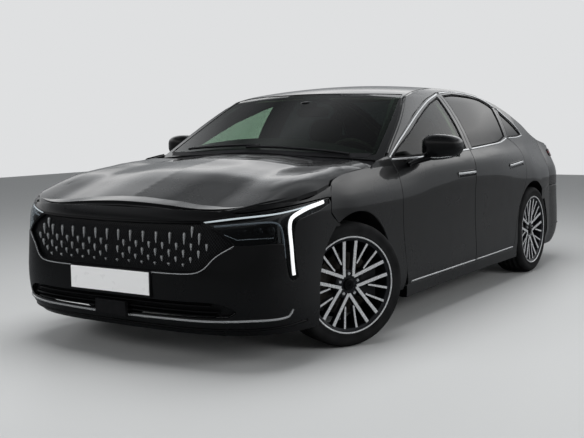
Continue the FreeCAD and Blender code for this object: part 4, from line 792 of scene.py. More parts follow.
# Floor paint, matt and pale to the eye but darker where the car's gloss mirrors it
floor_finish, tree, shader = finish("painted_studio_floor", "#c4c5c5", 0.5)
seen = add(tree, "LightPath")
tone = add(tree, "Mix", {"Factor": seen.outputs["Is Glossy Ray"]}, data_type="RGBA")
tone.inputs["A"].default_value, tone.inputs["B"].default_value = linear("#c4c5c5"), linear("#3a3c3e")
tree.links.new(tone.outputs["Result"], shader.inputs["Base Color"])
floor_reach = 14.0
mesh = bpy.data.meshes.new("studio_floor")
floor_corners = [(x * floor_reach, y * floor_reach, 0) for x, y in ((-1, -1), (1, -1), (1, 1), (-1, 1))]
mesh.from_pydata(floor_corners, [], [(0, 1, 2, 3)])
mesh.materials.append(floor_finish)
floor = bpy.data.objects.new("studio_floor", mesh)
bpy.context.scene.collection.objects.link(floor)


# Outlines and places on the body


def side_place(y, z):
    """Body side: its half width at each place along the car and height."""
    return np.stack([side_x(y, z), y, z], -1)


def top_place(level_of):
    """Surface over the plan whose height is level_of(x, y)."""
    return lambda x, y: np.stack([x, y, level_of(x, y)], -1)


# Nose and tail are laid out by distance along their plan outline at number plate height
plate_height = 0.42
outline_ts = np.linspace(-1 - wing_turn, 1 + wing_turn, 801)


def run_along(point_at):
    """Distance along a plan outline from the centre line, at each of outline_ts."""
    line = point_at(outline_ts, plate_height)
    run = np.concatenate([[0], np.cumsum(np.linalg.norm(np.diff(line, axis=0), axis=1))])
    return run - run[len(run) // 2]


nose_run, tail_run = run_along(nose_point), run_along(tail_point)


def nose_place(s, z):
    """Nose surface by distance along its outline, growing towards the car's left."""
    return nose_point(np.interp(s, nose_run, outline_ts), z)


def tail_place(s, z):
    """Tail surface by distance along its outline, growing towards the car's right."""
    return tail_point(np.interp(-s, tail_run, outline_ts), z)


def nose_at_y(y, z):
    """Nose coordinates of side view points on the left."""
    return np.stack([np.interp(end_t_at_y(y, z, -1), outline_ts, nose_run), z * np.ones_like(y)], -1)


def tail_at_y(y, z):
    """Tail coordinates of side view points on the right."""
    return np.stack([np.interp(end_t_at_y(y, z, 1), outline_ts, tail_run), z * np.ones_like(y)], -1)


def tail_s_at_x(x, z):
    """Distance along the tail's outline from the centre line to a place x from it."""
    half = side_x(float(along(tail_start)), z)
    t = 2 / np.pi * np.arcsin(np.clip(x / half, 0, 1) ** (tail_power / 2))
    return float(np.interp(t, outline_ts, tail_run))


def side_run(*points):
    """Side view points from stations and shares of the height."""
    u, h = np.array(points, float).T
    return np.stack([along(u), h * height], -1)


def plan_run(*points):
    """Plan points from stations and shares of the half width."""
    u, share = np.array(points, float).T
    return np.stack([share * half_width, along(u)], -1)


def chained(*runs):
    """Runs of points that each start where the one before ends; only the first holds its own start."""
    out = [np.array(runs[0], float)]
    for run in runs[1:]:
        out.append(np.vstack([out[-1][-1:], np.reshape(run, (-1, 2))]))
    return out


def side_runs(*runs):
    """Chained runs given in stations and shares of the height."""
    return [side_run(*run) for run in chained(*runs)]


def straight(*corners):
    """Straight runs from corner to corner and back to the first."""
    return [np.array(pair, float) for pair in zip(corners, corners[1:] + corners[:1])]


def across_run(points):
    """Run over the centre line, from the mirror image of its last point to that point."""
    p = np.asarray(points, float)
    return np.vstack([(p * (-1, 1))[::-1][:-1 if p[0, 0] == 0 else None], p])


def plan_loop(first, side, last, radius):
    """Closed outline in plan from its left half: one end, the left edge and the other end."""
    return closed_loop(across_run(first), side, across_run(last)[::-1], (side * (-1, 1))[::-1], radius=radius)


def nose_loop(*runs, radius=0.006):
    """Closed outline over both halves, from left runs that start and end on the centre line."""
    half = [np.asarray(run, float) for run in runs]
    other = [(run * (-1, 1))[::-1] for run in half[::-1]]
    first = np.vstack([other[-1][:-1], half[0]])
    middle = np.vstack([half[-1], other[0][1:]])
    return closed_loop(first, *half[1:-1], middle, *other[1:-1], radius=radius)


def band(low, high):
    """Closed outline between two runs that go the same way."""
    return closed_loop(low, np.vstack([low[-1:], high[-1:]]), high[::-1], np.vstack([high[:1], low[:1]]),
                       radius=0.003)


def inset(loop, gap):
    """The outline moved in by gap."""
    return loop - outward(loop) * gap


def arch_run(axle, radius, foot_front, foot_rear):
    """Wheel arch over the top from its front foot height to its rear foot height, in side view."""
    first = np.pi - np.arcsin(np.clip((foot_front - wheel_z) / radius, -1, 1))
    last = np.arcsin(np.clip((foot_rear - wheel_z) / radius, -1, 1))
    a = np.linspace(first, last, 40)
    return np.stack([axle + radius * np.cos(a), wheel_z + radius * np.sin(a)], -1)


def top_z(x, y):
    """Height of the body's top, hood to boot lid."""
    u = station(y)
    return np.select(
        [u < screen_line[0][0], u < roof_line[0][0], u < back_line[0][0], u < deck_line[0][0]],
        [hood_z(x, y), screen_z(x, y), roof_z(x, y), back_z(x, y)], deck_z(x, y))


def meeting_z(plan_at, shape):
    """Height at which a wall, given by its plan point at a height, meets the top: found by halving
    between half the height and the top of the side's profile."""
    low, high = np.full(shape, 0.5 * height), np.full(shape, profile[-1][0] * height)
    for _ in range(30):
        mid = (low + high) / 2
        under = top_z(*plan_at(mid)) > mid
        low, high = np.where(under, mid, low), np.where(under, high, mid)
    return low


def edge_z(y):
    """Height at which the side meets the top."""
    y = np.asarray(y, float)
    return meeting_z(lambda z: (side_x(y, z), y), y.shape)


def rim_run(s, place):
    """The run along which the nose or tail meets the top."""
    s = np.asarray(s, float)
    return np.stack([s, meeting_z(lambda z: np.moveaxis(place(s, z), -1, 0)[:2], s.shape)], -1)


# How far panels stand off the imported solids, and how deep their edges fold in
proud = 0.002
door_fold, side_fold, wing_fold, roof_fold = 0.012, 0.016, 0.010, 0.014
bumper_fold, tail_fold, lid_fold, brow_fold = 0.012, 0.010, 0.008, 0.006
# Spacing of the nets over small, middling and wide panels
small_net, panel_net, wide_net = 0.03, 0.04, 0.05


def painted(name, loops, place, body, fold, **extra):
    """An enamelled body panel."""
    shell(name, loops, place, body, paint, "paint", depth=fold, raised=proud, **extra)


def strip(place, points, width, thick, raised, edge_share=1 / 2.2, bent=True, step=0.02):
    """A moulding: a rounded bar carried along a line on a surface, raised off it; the line is a
    smooth curve through the points, or straight between them where it isn't bent."""
    line = curve_through(points, step) if bent else np.asarray(points, float)
    normal = surface_normal(place, line[:, 0], line[:, 1])
    path = place(line[:, 0], line[:, 1]) + normal * raised
    return swept(path, rounded(width, thick, min(width, thick) * edge_share), normal)


# Doors: the front one, the rear one and the opening of both
door_foot = 0.164
door_front_edge = side_run((1.209, door_foot), (1.204, 0.189), (1.193, 0.352), (1.187, 0.510), (1.188, 0.584),
                           (1.189, 0.629), (1.183, 0.660), (1.174, 0.677))
door_front_top = side_run((1.174, 0.677), (1.270, 0.771), (1.366, 0.853), (1.474, 0.919), (1.572, 0.956))
door_middle_edge = side_run((1.575, 0.956), (1.575, 0.700), (1.574, 0.646), (1.573, 0.501), (1.575, 0.234),
                            (1.577, door_foot))
door_rear_top = side_run((1.575, 0.956), (1.671, 0.966), (1.758, 0.959), (1.835, 0.937), (1.880, 0.911),
                         (1.903, 0.890))
door_rear_edge = side_run((1.903, 0.890), (1.888, 0.810), (1.873, 0.736))
door_haunch_edge = side_run((1.873, 0.736), (1.941, 0.671), (1.948, 0.619), (1.941, 0.545), (1.929, 0.490),
                            (1.897, 0.404), (1.873, 0.341), (1.850, 0.245), (1.840, door_foot))
front_door_loop = closed_loop(door_front_edge, door_front_top, door_middle_edge,
                              side_run((1.577, door_foot), (1.209, door_foot)))
rear_door_loop = closed_loop(door_middle_edge[::-1], door_rear_top, door_rear_edge, door_haunch_edge,
                             side_run((1.840, door_foot), (1.577, door_foot)))
both_doors_loop = closed_loop(door_front_edge, door_front_top, side_run((1.572, 0.956), (1.575, 0.956)),
                              door_rear_top, door_rear_edge, door_haunch_edge,
                              side_run((1.840, door_foot), (1.209, door_foot)))
front_window_loop = closed_loop(*side_runs(
    [(1.192, 0.685), (1.374, 0.834), (1.479, 0.902), (1.558, 0.937)], [(1.558, 0.694)],
    [(1.302, 0.678), (1.192, 0.676)]))
rear_window_loop = closed_loop(*side_runs(
    [(1.592, 0.694), (1.592, 0.944)],
    [(1.671, 0.954), (1.754, 0.948), (1.827, 0.930), (1.870, 0.902), (1.885, 0.885)],
    [(1.860, 0.737)], [(1.807, 0.716), (1.592, 0.694)]))
quarter_window_loop = closed_loop(*side_runs(
    [(1.883, 0.742), (1.912, 0.870)], [(1.971, 0.801), (2.028, 0.741)], [(1.964, 0.733), (1.883, 0.732)]),
    radius=0.010)
for hand, end in sides:
    for label, outline, window in (("front", front_door_loop, front_window_loop),
                                   ("rear", rear_door_loop, rear_window_loop)):
        painted(f"door_skin_{label}_{end}", [inset(outline, shut_gap / 2), window], side_place,
                f"door_{label}_{end}", door_fold, hand=hand)

# Body sides: sill, roof rail and quarter, with one opening for both doors
skirt_z = 0.17
tail_break = 0.448 * height
quarter_end_y = float(along(tail_start))
rail_y = np.linspace(along(1.15), quarter_end_y, 60)
rail_run = np.stack([rail_y, edge_z(rail_y)], -1)
rear_arch = arch_run(rear_axle, rear_arch_radius, skirt_z, skirt_z)
side_loop = closed_loop(
    rail_run,
    np.array([rail_run[-1], (quarter_end_y, 0.66)]),
    side_run((tail_start, 0.462), (2.30, 0.440), (2.21, 0.385)),
    arch_run(rear_axle, rear_arch_radius, skirt_z, 0.5505)[::-1],
    np.array([(rear_arch[0, 0], skirt_z), (along(1.222), skirt_z)]),
    *side_runs([(1.222, skirt_z / height), (1.221, 0.222)], [(1.194, 0.230), (1.150, 0.40)],
               [(1.150, 0.60), (1.150, rail_run[0, 1] / height)]), radius=0.004)


def rail_lip(loop):
    """Roll of 14 mm along the roof rail, 2 mm elsewhere."""
    near = np.abs(loop[:, 1] - edge_z(loop[:, 0]))
    return np.where(near < 0.01, 0.014, 0.002)[:, None]


for hand, end in sides:
    painted(f"body_side_{end}", [side_loop, both_doors_loop, quarter_window_loop], side_place, "body",
            side_fold, lip=rail_lip, hand=hand)

# Wings: the shut from bumper to hood, along the hood's edge, down the door and over the wheel arch
fender_loop = closed_loop(
    *side_runs([(0.808, 0.462), (0.786, 0.472), (0.712, 0.512)],
               [(0.722, 0.545), (0.742, 0.585), (0.777, 0.610), (0.850, 0.625), (0.935, 0.634),
                (1.091, 0.649), (1.112, 0.668), (1.150, 0.682), (1.172, 0.686)]),
    np.vstack([door_front_edge[:1:-1], side_run((1.2015, 0.226), (1.199, 0.205), (1.199, door_foot))]),
    side_run((1.199, door_foot), (1.122, door_foot)),
    arch_run(front_axle, arch_radius, 0.658, 0.235)[::-1], radius=0.004)
for hand, end in sides:
    painted(f"fender_skin_{end}", [inset(fender_loop, shut_gap / 2)], side_place, "body", wing_fold,
            hand=hand)

# Hood: a clamshell whose edge rolls over the lamps and along the sides; brow and sides hang from it
hood_inset = 0.002
hood_rear_y = -1.211
hood_front = np.array([(0.0, -2.322), (0.15, -2.3215), (0.254, -2.319), (0.40, -2.310), (0.503, -2.296)])
hood_brow = nose_place(*rim_run([0.62, 0.70, 0.80, 0.90, 1.00, 1.10, 1.20, 1.29], nose_place).T)[:, :2]
hood_side_y = along(np.array([0.76, 0.80, 0.850, 0.935, 1.02, 1.085]))
hood_side = np.stack([side_x(hood_side_y, edge_z(hood_side_y)), hood_side_y], -1)
hood_half = np.vstack([hood_front, hood_brow - (hood_inset, 0), hood_side - (hood_inset, 0)])
hood_rear = np.vstack([hood_half[-1:], [(x, hood_rear_y) for x in (0.74, 0.60, 0.30, 0.0)]])
hood_loop = closed_loop(across_run(hood_half), np.vstack([hood_rear, (hood_rear[:-1] * (-1, 1))[::-1]]),
                        radius=0.008)


def hood_lip(loop):
    """Roll of the hood's edge: 5 mm ahead and behind, 14 mm over the lamps and along the sides."""
    s = np.clip((np.abs(loop[:, 0]) - 0.50) / 0.16, 0, 1)
    return (0.005 + 0.009 * s * s * (3 - 2 * s) * (loop[:, 1] < -1.215))[:, None]


painted("hood_skin", [hood_loop], top_place(hood_z), "hood", lid_fold, lip=hood_lip, steps=7,
        spacing=small_net)

# Front bumper: nose surface, open for grille, lamps and intake
bumper_foot = [(0.9, 0.172), (0.0, 0.172)]
grille_loop = nose_loop(*chained(
    [(0.0, 0.719), (0.2145, 0.7205), (0.40, 0.7235), (0.526, 0.7275)],
    [(0.5795, 0.7015), (0.6518, 0.6608), (0.705, 0.616)],
    [(0.6134, 0.560), (0.5612, 0.508), (0.520, 0.486), (0.470, 0.4785)],
    [(0.2343, 0.4755), (0.0, 0.4755)]), radius=0.004)
lamp_loop = closed_loop(*chained(
    [(0.5283, 0.7259), (0.7105, 0.7534), (0.9008, 0.7722), (1.1128, 0.7897), (1.300, 0.7997)],
    [(1.3041, 0.7769)],
    [(1.2275, 0.7556), (1.105, 0.734), (1.040, 0.716), (1.019, 0.688), (1.0408, 0.445)],
    [(1.0023, 0.4307), (0.977, 0.4552)],
    [(0.9517, 0.6069)],
    [(0.9399, 0.6126), (0.7111, 0.6121)],
    [(0.6518, 0.6608), (0.5795, 0.7015), (0.5283, 0.7259)]), radius=0.004)
intake_loop = nose_loop(*chained(
    [(0.0, 0.345), (0.40, 0.345)], [(0.56, 0.345), (0.64, 0.335), (0.70, 0.30), (0.66, 0.272)],
    [(0.40, 0.266), (0.0, 0.262)]))
bumper_top = chained(
    [(0.0, 0.7775), (0.2559, 0.7760), (0.40, 0.7745), (0.5085, 0.7740)],
    [(0.62, 0.7690), (0.7105, 0.7610), (0.9008, 0.7790), (1.1128, 0.7960), (1.3007, 0.8060)],
    nose_at_y(along(np.array([0.718, 0.712, 0.786, 0.808])), height * np.array([0.545, 0.512, 0.472, 0.462])))
front_arch = arch_run(front_axle, arch_radius, skirt_z, skirt_z)
front_arch = front_arch[front_arch[:, 0] < float(along(0.808)) + 0.002]
bumper_loop = nose_loop(*chained(bumper_top[0], *(run[1:] for run in bumper_top[1:]),
                                 nose_at_y(*front_arch[::-1].T), bumper_foot), radius=0.004)

# Brow over the lamps and panels over the wings, under the hood's roll
roll_drop = (0.0, 0.010)
brow_top = rim_run([0.56, 0.62, 0.70, 0.80, 0.90, 1.00, 1.10, 1.20, 1.30], nose_place) - roll_drop
brow_foot = bumper_top[1][1:] + (0.0, 0.004)
brow_loop = band(brow_foot[brow_foot[:, 0] > 0.55], brow_top)
wing_top_y = along(np.array([0.7025, 0.742, 0.777, 0.850, 0.935, 1.02, 1.085]))
wing_top = np.stack([wing_top_y, edge_z(wing_top_y)], -1) - roll_drop
wing_foot = side_run((0.7025, 0.5675), (0.7290, 0.5675), (0.745, 0.5925), (0.777, 0.614), (0.850, 0.629),
                     (0.935, 0.638), (1.085, 0.651))
wing_loop = band(wing_foot[::-1], wing_top[::-1])
for hand, end in sides:
    painted(f"hood_brow_{end}", [brow_loop], nose_place, "hood", brow_fold, hand=hand, spacing=small_net)
    painted(f"hood_side_{end}", [wing_loop], side_place, "hood", brow_fold, hand=hand, spacing=small_net)
painted("front_bumper_skin",
        [inset(bumper_loop, 0.001), grille_loop, lamp_loop, lamp_loop[::-1] * (-1, 1), intake_loop],
        nose_place, "body", bumper_fold, spacing=0.022, stands_for=["front_bumper"])

# Roof, with the tops of the pillars, open for both screens
screen_base = plan_run((1.111, 0.0), (1.116, 0.35), (1.138, 0.62), (1.166, 0.820))
screen_head = plan_run((1.371, 0.0), (1.376, 0.30), (1.396, 0.55), (1.407, 0.645))
back_head = plan_run((1.860, 0.0), (1.857, 0.30), (1.845, 0.58))
back_foot = plan_run((2.405, 0.0), (2.395, 0.35), (2.360, 0.62))
screen_side = plan_run((1.166, 0.820), (1.290, 0.738), (1.407, 0.645))
back_side = plan_run((1.845, 0.58), (2.10, 0.612), (2.360, 0.62))
screen_loop = plan_loop(screen_base, screen_side, screen_head, 0.02)
back_loop = plan_loop(back_head, back_side, back_foot, 0.03)
rail_plan_y = np.linspace(along(1.155), along(2.413), 60)
rail_plan = np.stack([side_x(rail_plan_y, edge_z(rail_plan_y)) - 0.012, rail_plan_y], -1)
roof_front = np.vstack([plan_run((1.1065, 0.0), (1.110, 0.35), (1.130, 0.62)), rail_plan[:1]])
roof_rear = np.vstack([plan_run((2.413, 0.0), (2.413, 0.40)), rail_plan[-1:]])
roof_loop = plan_loop(roof_front, rail_plan, roof_rear, 0.006)
body_top = top_place(top_z)
painted("roof_skin", [roof_loop, screen_loop, back_loop], body_top, "body", roof_fold, lip=0.003,
        spacing=0.035)

# Black enamel fired on to the glass, behind its edge: dull under the glass's own gloss
frit, tree, shader = finish("fired_ceramic_frit", "#060607", 0.25)
varied(tree, shader, "Roughness", 0.05, 0.22, 0.30)
glass_drop = -0.001
shell("windscreen", [inset(screen_loop, 0.004)], body_top, "body", clear_glass, "glazing",
      depth=0.005, lip=0.001, raised=glass_drop, spacing=wide_net)
shell("rear_window", [inset(back_loop, 0.004)], body_top, "body", privacy_glass, "glazing",
      depth=0.004, lip=0.001, raised=glass_drop, spacing=wide_net, stands_for=["fixed_glass"])
for label, loop, reach in (("windscreen_frit", screen_loop, 0.032), ("rear_window_frit", back_loop, 0.028)):
    shell(label, [inset(loop, 0.005), inset(loop, reach)], body_top, "body", frit, "trim_black",
          depth=0.001, lip=0.0002, raised=-0.0075, spacing=small_net, steps=1)
for hand, end in sides:
    for label, loop, body, glass, stands in (
            ("front", front_window_loop, f"door_front_{end}", clear_glass, [f"glass_front_{end}"]),
            ("rear", rear_window_loop, f"door_rear_{end}", privacy_glass, [f"glass_rear_{end}"]),
            ("quarter", quarter_window_loop, "body", privacy_glass, [])):
        shell(f"window_{label}_{end}", [inset(loop, 0.003)], side_place, body, glass, "glazing",
              depth=0.004, lip=0.0008, hand=hand, raised=-0.004, spacing=wide_net, stands_for=stands)
        shell(f"window_seal_{label}_{end}", [inset(loop, 0.001), inset(loop, 0.011)], side_place, body,
              rubber, "trim_black", depth=0.008, lip=0.001, hand=hand, raised=0.0005,
              spacing=small_net, steps=2)

# Bright mouldings: over and under the windows, and along the sill; width, thickness and their lines
mouldings = {
    "roof": (0.011, 0.006, {
        "front": [(1.180, 0.680), (1.270, 0.764), (1.370, 0.8445), (1.4765, 0.9105), (1.570, 0.9475)],
        "rear": [(1.579, 0.9505), (1.671, 0.9600), (1.756, 0.9535), (1.831, 0.9335), (1.876, 0.907),
                 (1.894, 0.889)],
        "quarter": [(1.908, 0.884), (1.945, 0.843), (1.985, 0.796), (2.040, 0.739)]}),
    "belt": (0.012, 0.007, {
        "front": [(1.185, 0.6725), (1.302, 0.6725), (1.44, 0.6815), (1.570, 0.6895)],
        "rear": [(1.579, 0.690), (1.70, 0.700), (1.807, 0.7105), (1.866, 0.728)],
        "quarter": [(1.880, 0.7285), (1.964, 0.729), (2.036, 0.7375)]}),
    "sill": (0.010, 0.006, {
        "front": [(1.222, 0.1755), (1.40, 0.1750), (1.572, 0.1750)],
        "rear": [(1.580, 0.1750), (1.70, 0.1750), (1.832, 0.1760)]}),
}
moulding_proud = 0.004
for hand, end in sides:
    owners = {"front": f"door_front_{end}", "rear": f"door_rear_{end}", "quarter": "body"}
    for kind, (width, thick, lines) in mouldings.items():
        for label, points in lines.items():
            data = strip(side_place, side_run(*points), width, thick, moulding_proud, 1 / 2)
            piece(f"{kind}_moulding_{label}_{end}", *handed(data, hand), owners[label], chrome, "trim_black")

# Grille: a mesh in a gloss surround, with rows of chrome drops

# Diamond mesh moulded in black plastic, 11 mm across: gloss ribs, with painted shadow, near black, in the
# gaps between them
mesh_with_painted_shadow, tree, shader = finish("diamond_mesh_with_painted_shadow", "#050506", 0.25)
place = add(tree, "TexCoord")
lines = []
for lean in (0.65, -0.65):
    mapped = add(tree, "Mapping", {"Vector": place.outputs["Object"], "Rotation": (0.0, lean, 0.0)})
    lines.append(add(tree, "TexWave", {"Vector": mapped.outputs["Vector"], "Scale": 30.0},
                     bands_direction="X"))
both_lines = add(tree, "Math", {0: lines[0].outputs["Fac"], 1: lines[1].outputs["Fac"]}, operation="MAXIMUM")
ridge = add(tree, "MapRange", {"Value": both_lines.outputs["Value"], "From Min": 0.80, "From Max": 0.95})
# Painted shadow: the colour is near black between the ribs and dark grey on them
tone = add(tree, "ValToRGB", {"Fac": ridge.outputs["Result"]})
set_ramp(tone, (0.0, "#020202"), (1.0, "#232426"))
tree.links.new(tone.outputs["Color"], shader.inputs["Base Color"])
raised_by(tree, shader, ridge.outputs["Result"], 0.003)

# A flat sheet; its openings are painted shadow in its colour
shell("grille_mesh", [inset(grille_loop, -0.003)], nose_place, "body", mesh_with_painted_shadow, "grille_black",
      depth=0.004, raised=-0.016, spacing=small_net, stands_for=["grilles"])
shell("grille_surround", [inset(grille_loop, -0.002), inset(grille_loop, 0.010)], nose_place, "body",
      gloss_plastic, "grille_black", depth=0.020, raised=0.0005, spacing=small_net)
# Top and foot of each row of drops, and whether its columns stand between those of the row above
drop_rows = [(0.703, 0.650, False), (0.671, 0.616, True), (0.622, 0.589, False), (0.590, 0.555, True),
             (0.5575, 0.5315, False), (0.526, 0.511, True)]
column_pitch = 0.0817
column_count = 9
first_column, first_between, second_between = 0.076, 0.035, 0.117
drop_width = 0.0125
drop_section = [(-0.5, 0.0), (-0.36, 0.75), (0.0, 1.1), (0.36, 0.75), (0.5, 0.0)]
bead_section = [(-0.5, 0.0), (-0.3, 0.6), (0.3, 0.6), (0.5, 0.0)]
drops, beads = [], []
drop_zone = inset(grille_loop, 0.022)
for top, foot, between in drop_rows:
    columns = first_column + column_pitch * np.arange(column_count)
    if between:
        columns = np.append(first_between, second_between + column_pitch * np.arange(column_count - 1))
    for s in np.concatenate([-columns, columns]):
        if not inside(np.array([(s, top), (s, foot)]), drop_zone).all():
            continue
        t = np.linspace(0, 1, 9)
        line = np.stack([np.full(9, s), top + (foot - top) * t], -1)
        normal = surface_normal(nose_place, line[:, 0], line[:, 1])
        path = nose_place(line[:, 0], line[:, 1]) + normal * -0.013
        swell = drop_width * (0.30 + 0.70 * np.sin(np.pi * np.clip(t * 0.9 + 0.1, 0, 1) ** 0.55))
        drops.append(swept(path, drop_section, normal, scale=swell))
        beads.append(swept(path[:3] + normal[:3] * 0.006, bead_section, normal[:3],
                           scale=np.array([0.004, 0.010, 0.005])))
piece("grille_droplets", *merged(drops), "body", chrome, "grille_black")
piece("grille_droplet_beads", *merged(beads), "body", chrome, "grille_black")
frame_run = across_run([(0.0, 0.4755), (0.2343, 0.4755), (0.470, 0.4785), (0.520, 0.486), (0.5612, 0.508),
                        (0.6134, 0.560), (0.700, 0.6125)])
piece("grille_frame_line", *strip(nose_place, frame_run, 0.005, 0.004, 0.002), "body", chrome, "grille_black")

# Headlamps: dark housing and reflector steps behind a clear cover, with a bent light guide

# Opal acrylic, moulded: it glows evenly from the lamps behind it
light_guide, tree, shader = finish("opal_acrylic_light_guide", "#f4f6f8", 0.25, Emission_Strength=0.55)
shader.inputs["Emission Color"].default_value = linear("#ffffff")
varied(tree, shader, "Roughness", 0.03, 0.22, 0.30)
guide_top = [(0.5394, 0.7235), (0.7137, 0.7446), (0.9053, 0.7577), (1.0357, 0.7715), (1.1447, 0.7839),
             (1.2606, 0.7945)]
guide_arm = [(1.2400, 0.7900), (1.0753, 0.7643), (0.9900, 0.7300), (0.9820, 0.7039), (1.0000, 0.5789),
             (1.0116, 0.4583)]
inner_step = [(0.594, 0.704), (0.7218, 0.7141), (0.8881, 0.7161), (0.9349, 0.6975), (0.9555, 0.6537),
              (0.975, 0.5400)]
bright_line = [(0.640, 0.668), (0.715, 0.640), (0.900, 0.642)]
lens_height, lens_depth = 0.678, 0.040
lens_section = [(0.0, 0.026), (0.010, 0.024), (0.017, 0.018), (0.021, 0.018), (0.022, 0.0), (0.0, 0.0)]
# Name, line, width, thickness, height off the nose, whether it bends smoothly, and material
lamp_strips = [("light_guide_top", guide_top, 0.007, 0.010, -0.010, True, light_guide),
               ("light_guide_arm", guide_arm, 0.019, 0.010, 0.0, True, light_guide),
               ("lamp_step", inner_step, 0.010, 0.012, -0.020, True, dark_chrome),
               ("lamp_bright_line", bright_line, 0.004, 0.006, -0.016, False, chrome)]
for hand, end in sides:
    shell(f"lamp_housing_{end}", [inset(lamp_loop, -0.001)], nose_place, "body", gloss_plastic, "lamp",
          depth=0.004, hand=hand, raised=-0.048, spacing=small_net,
          stands_for=["headlamps"] if hand > 0 else ())
    shell(f"lamp_wall_{end}", [inset(lamp_loop, -0.001), inset(lamp_loop, 0.003)], nose_place, "body",
          gloss_plastic, "lamp", depth=0.048, lip=0.001, hand=hand, raised=-0.003, spacing=small_net, steps=1)
    shell(f"lamp_cover_{end}", [inset(lamp_loop, 0.002)], nose_place, "body", lamp_cover, "lamp", depth=0.003,
          lip=0.001, hand=hand, spacing=small_net)
    for label, points, width, thick, raised, bent, material in lamp_strips:
        data = strip(nose_place, np.array(points) * (hand, 1), width, thick, raised, bent=bent)
        piece(f"{label}_{end}", *data, "body", material, "lamp")
    lenses = []
    for s in (0.735, 0.815, 0.890):
        spot = np.array([s * hand]), np.array([lens_height])
        normal = surface_normal(nose_place, *spot)[0]
        lenses.append(turned(lens_section, nose_place(*spot)[0] - normal * lens_depth, normal, 28))
    piece(f"lamp_lenses_{end}", *merged(lenses), "body", gloss_plastic, "lamp")

# Lower intake, bumper mouldings and number plate
shell("intake_mesh", [inset(intake_loop, -0.003)], nose_place, "body", mesh_with_painted_shadow, "grille_black",
      depth=0.004, raised=-0.022, spacing=panel_net)
for label, level, reach in (("upper", 0.3275, 0.58), ("lower", 0.300, 0.62), ("foot", 0.278, 0.60)):
    slat = across_run([(0.0, level), (reach / 2, level), (reach, level)])
    piece(f"intake_slat_{label}", *strip(nose_place, slat, 0.008, 0.020, -0.008), "body", gloss_plastic,
          "grille_black")
bright_lip = across_run([(0.0, 0.2500), (0.354, 0.2538), (0.5537, 0.2538), (0.760, 0.2580), (0.930, 0.2585),
                         (0.970, 0.268), (0.992, 0.2960)])
piece("bumper_bright_moulding", *strip(nose_place, bright_lip, 0.011, 0.008, moulding_proud), "body", chrome,
      "trim_black")
lower_lip = across_run([(0.0, 0.208), (0.55, 0.208), (0.93, 0.213), (1.10, 0.225)])
piece("bumper_lower_lip", *strip(nose_place, lower_lip, 0.012, 0.010, 0.003), "body", gloss_plastic,
      "trim_black")

# Aluminium sheet, white enamelled and stamped: a soft gloss
plate_paint, tree, shader = finish("enamelled_number_plate", "#f4f4f4", 0.30)
varied(tree, shader, "Roughness", 0.05, 0.27, 0.34)


def slab_box(low, high, radius):
    """Box with its four long edges across the car rounded."""
    low, high = np.asarray(low, float), np.asarray(high, float)
    mid = (low + high) / 2
    path = np.array([(low[0], mid[1], mid[2]), (mid[0], mid[1], mid[2]), (high[0], mid[1], mid[2])])
    size = high - low
    return swept(path, rounded(size[1], size[2], radius))


plate_face = -2.417
plate_half = 0.260
for label, low, high, radius, material in (
        ("number_plate", (-plate_half, plate_face, 0.363), (plate_half, plate_face + 0.004, 0.475), 0.0015,
         plate_paint),
        ("number_plate_holder", (-0.265, plate_face + 0.0035, 0.352), (0.265, -2.395, 0.480), 0.003,
         grained_plastic),
        ("sensor_panel", (-0.100, -2.414, 0.243), (0.100, -2.392, 0.318), 0.006, grained_plastic)):
    piece(label, *slab_box(low, high, radius), "body", material, "trim_black", smooth_all=False)

# Mirrors and handles


def blob(centre, size, power, rows=14, cols=28):
    """Superellipsoid about a centre, with its full sizes: cosines and sines raised to 2 / power."""
    v = np.linspace(-np.pi / 2, np.pi / 2, rows)
    u = np.linspace(0, 2 * np.pi, cols, endpoint=False)
    v, u = np.meshgrid(v, u, indexing="ij")

    def bend(w):
        """w to the power 2 / power, its sign kept."""
        return np.sign(w) * np.abs(w) ** (2 / power)
    x, y, z = bend(np.cos(v)) * bend(np.cos(u)), bend(np.cos(v)) * bend(np.sin(u)), bend(np.sin(v))
    verts = np.stack([x, y, z], -1).reshape(-1, 3) * np.asarray(size) / 2 + centre
    return verts, [tube_faces(rows, cols)[:, ::-1]]


def mirror_shell():
    """Housing: a blob that tapers and sweeps back towards its tip, cut flat behind."""
    middle = np.array([0.990, -0.632, 1.022])
    verts, faces = blob(middle, (0.226, 0.180, 0.160), 3.2)
    share = np.clip((verts[:, 0] - 0.90) / 0.20, 0, 1)
    verts[:, 2] = middle[2] + (verts[:, 2] - middle[2]) * (1.0 - 0.32 * share ** 2) + 0.008 * share
    verts[:, 1] = np.minimum(verts[:, 1] + 0.050 * share ** 2, middle[1] + 0.058)
    return verts, faces


mirror_glass = swept([(0.912, -0.569, 1.008), (0.995, -0.569, 1.010), (1.078, -0.569, 1.012)],
                     rounded(0.003, 0.092, 0.0012))
mirror_edge = curve_through([(0.900, -0.700, 0.968), (0.990, -0.704, 0.964), (1.070, -0.672, 0.972)], 0.02)
mirror_moulding = swept(mirror_edge, rounded(0.006, 0.006, 0.003))
arm_line = curve_through([(0.842, -0.800, 0.925), (0.880, -0.735, 0.945), (0.950, -0.670, 0.968)], 0.02)
mirror_arm = swept(arm_line, rounded(0.060, 0.028, 0.012))


def handle(first, last, level, rise, count=13):
    """Bowed grip and its cup, between two places along the door; the bow is a sine to the power 0.35."""
    ys = np.linspace(first, last, count)
    zs = level + rise * np.linspace(0, 1, count)
    normal = surface_normal(side_place, ys, zs)
    lift = 0.004 + 0.016 * np.sin(np.linspace(0, np.pi, count)) ** 0.35
    grip = swept(side_place(ys, zs) + normal * lift[:, None], rounded(0.015, 0.010, 0.0040), normal)
    cup = swept(side_place(ys, zs - 0.004) + normal * 0.001, rounded(0.040, 0.005, 0.002), normal)
    return grip, cup


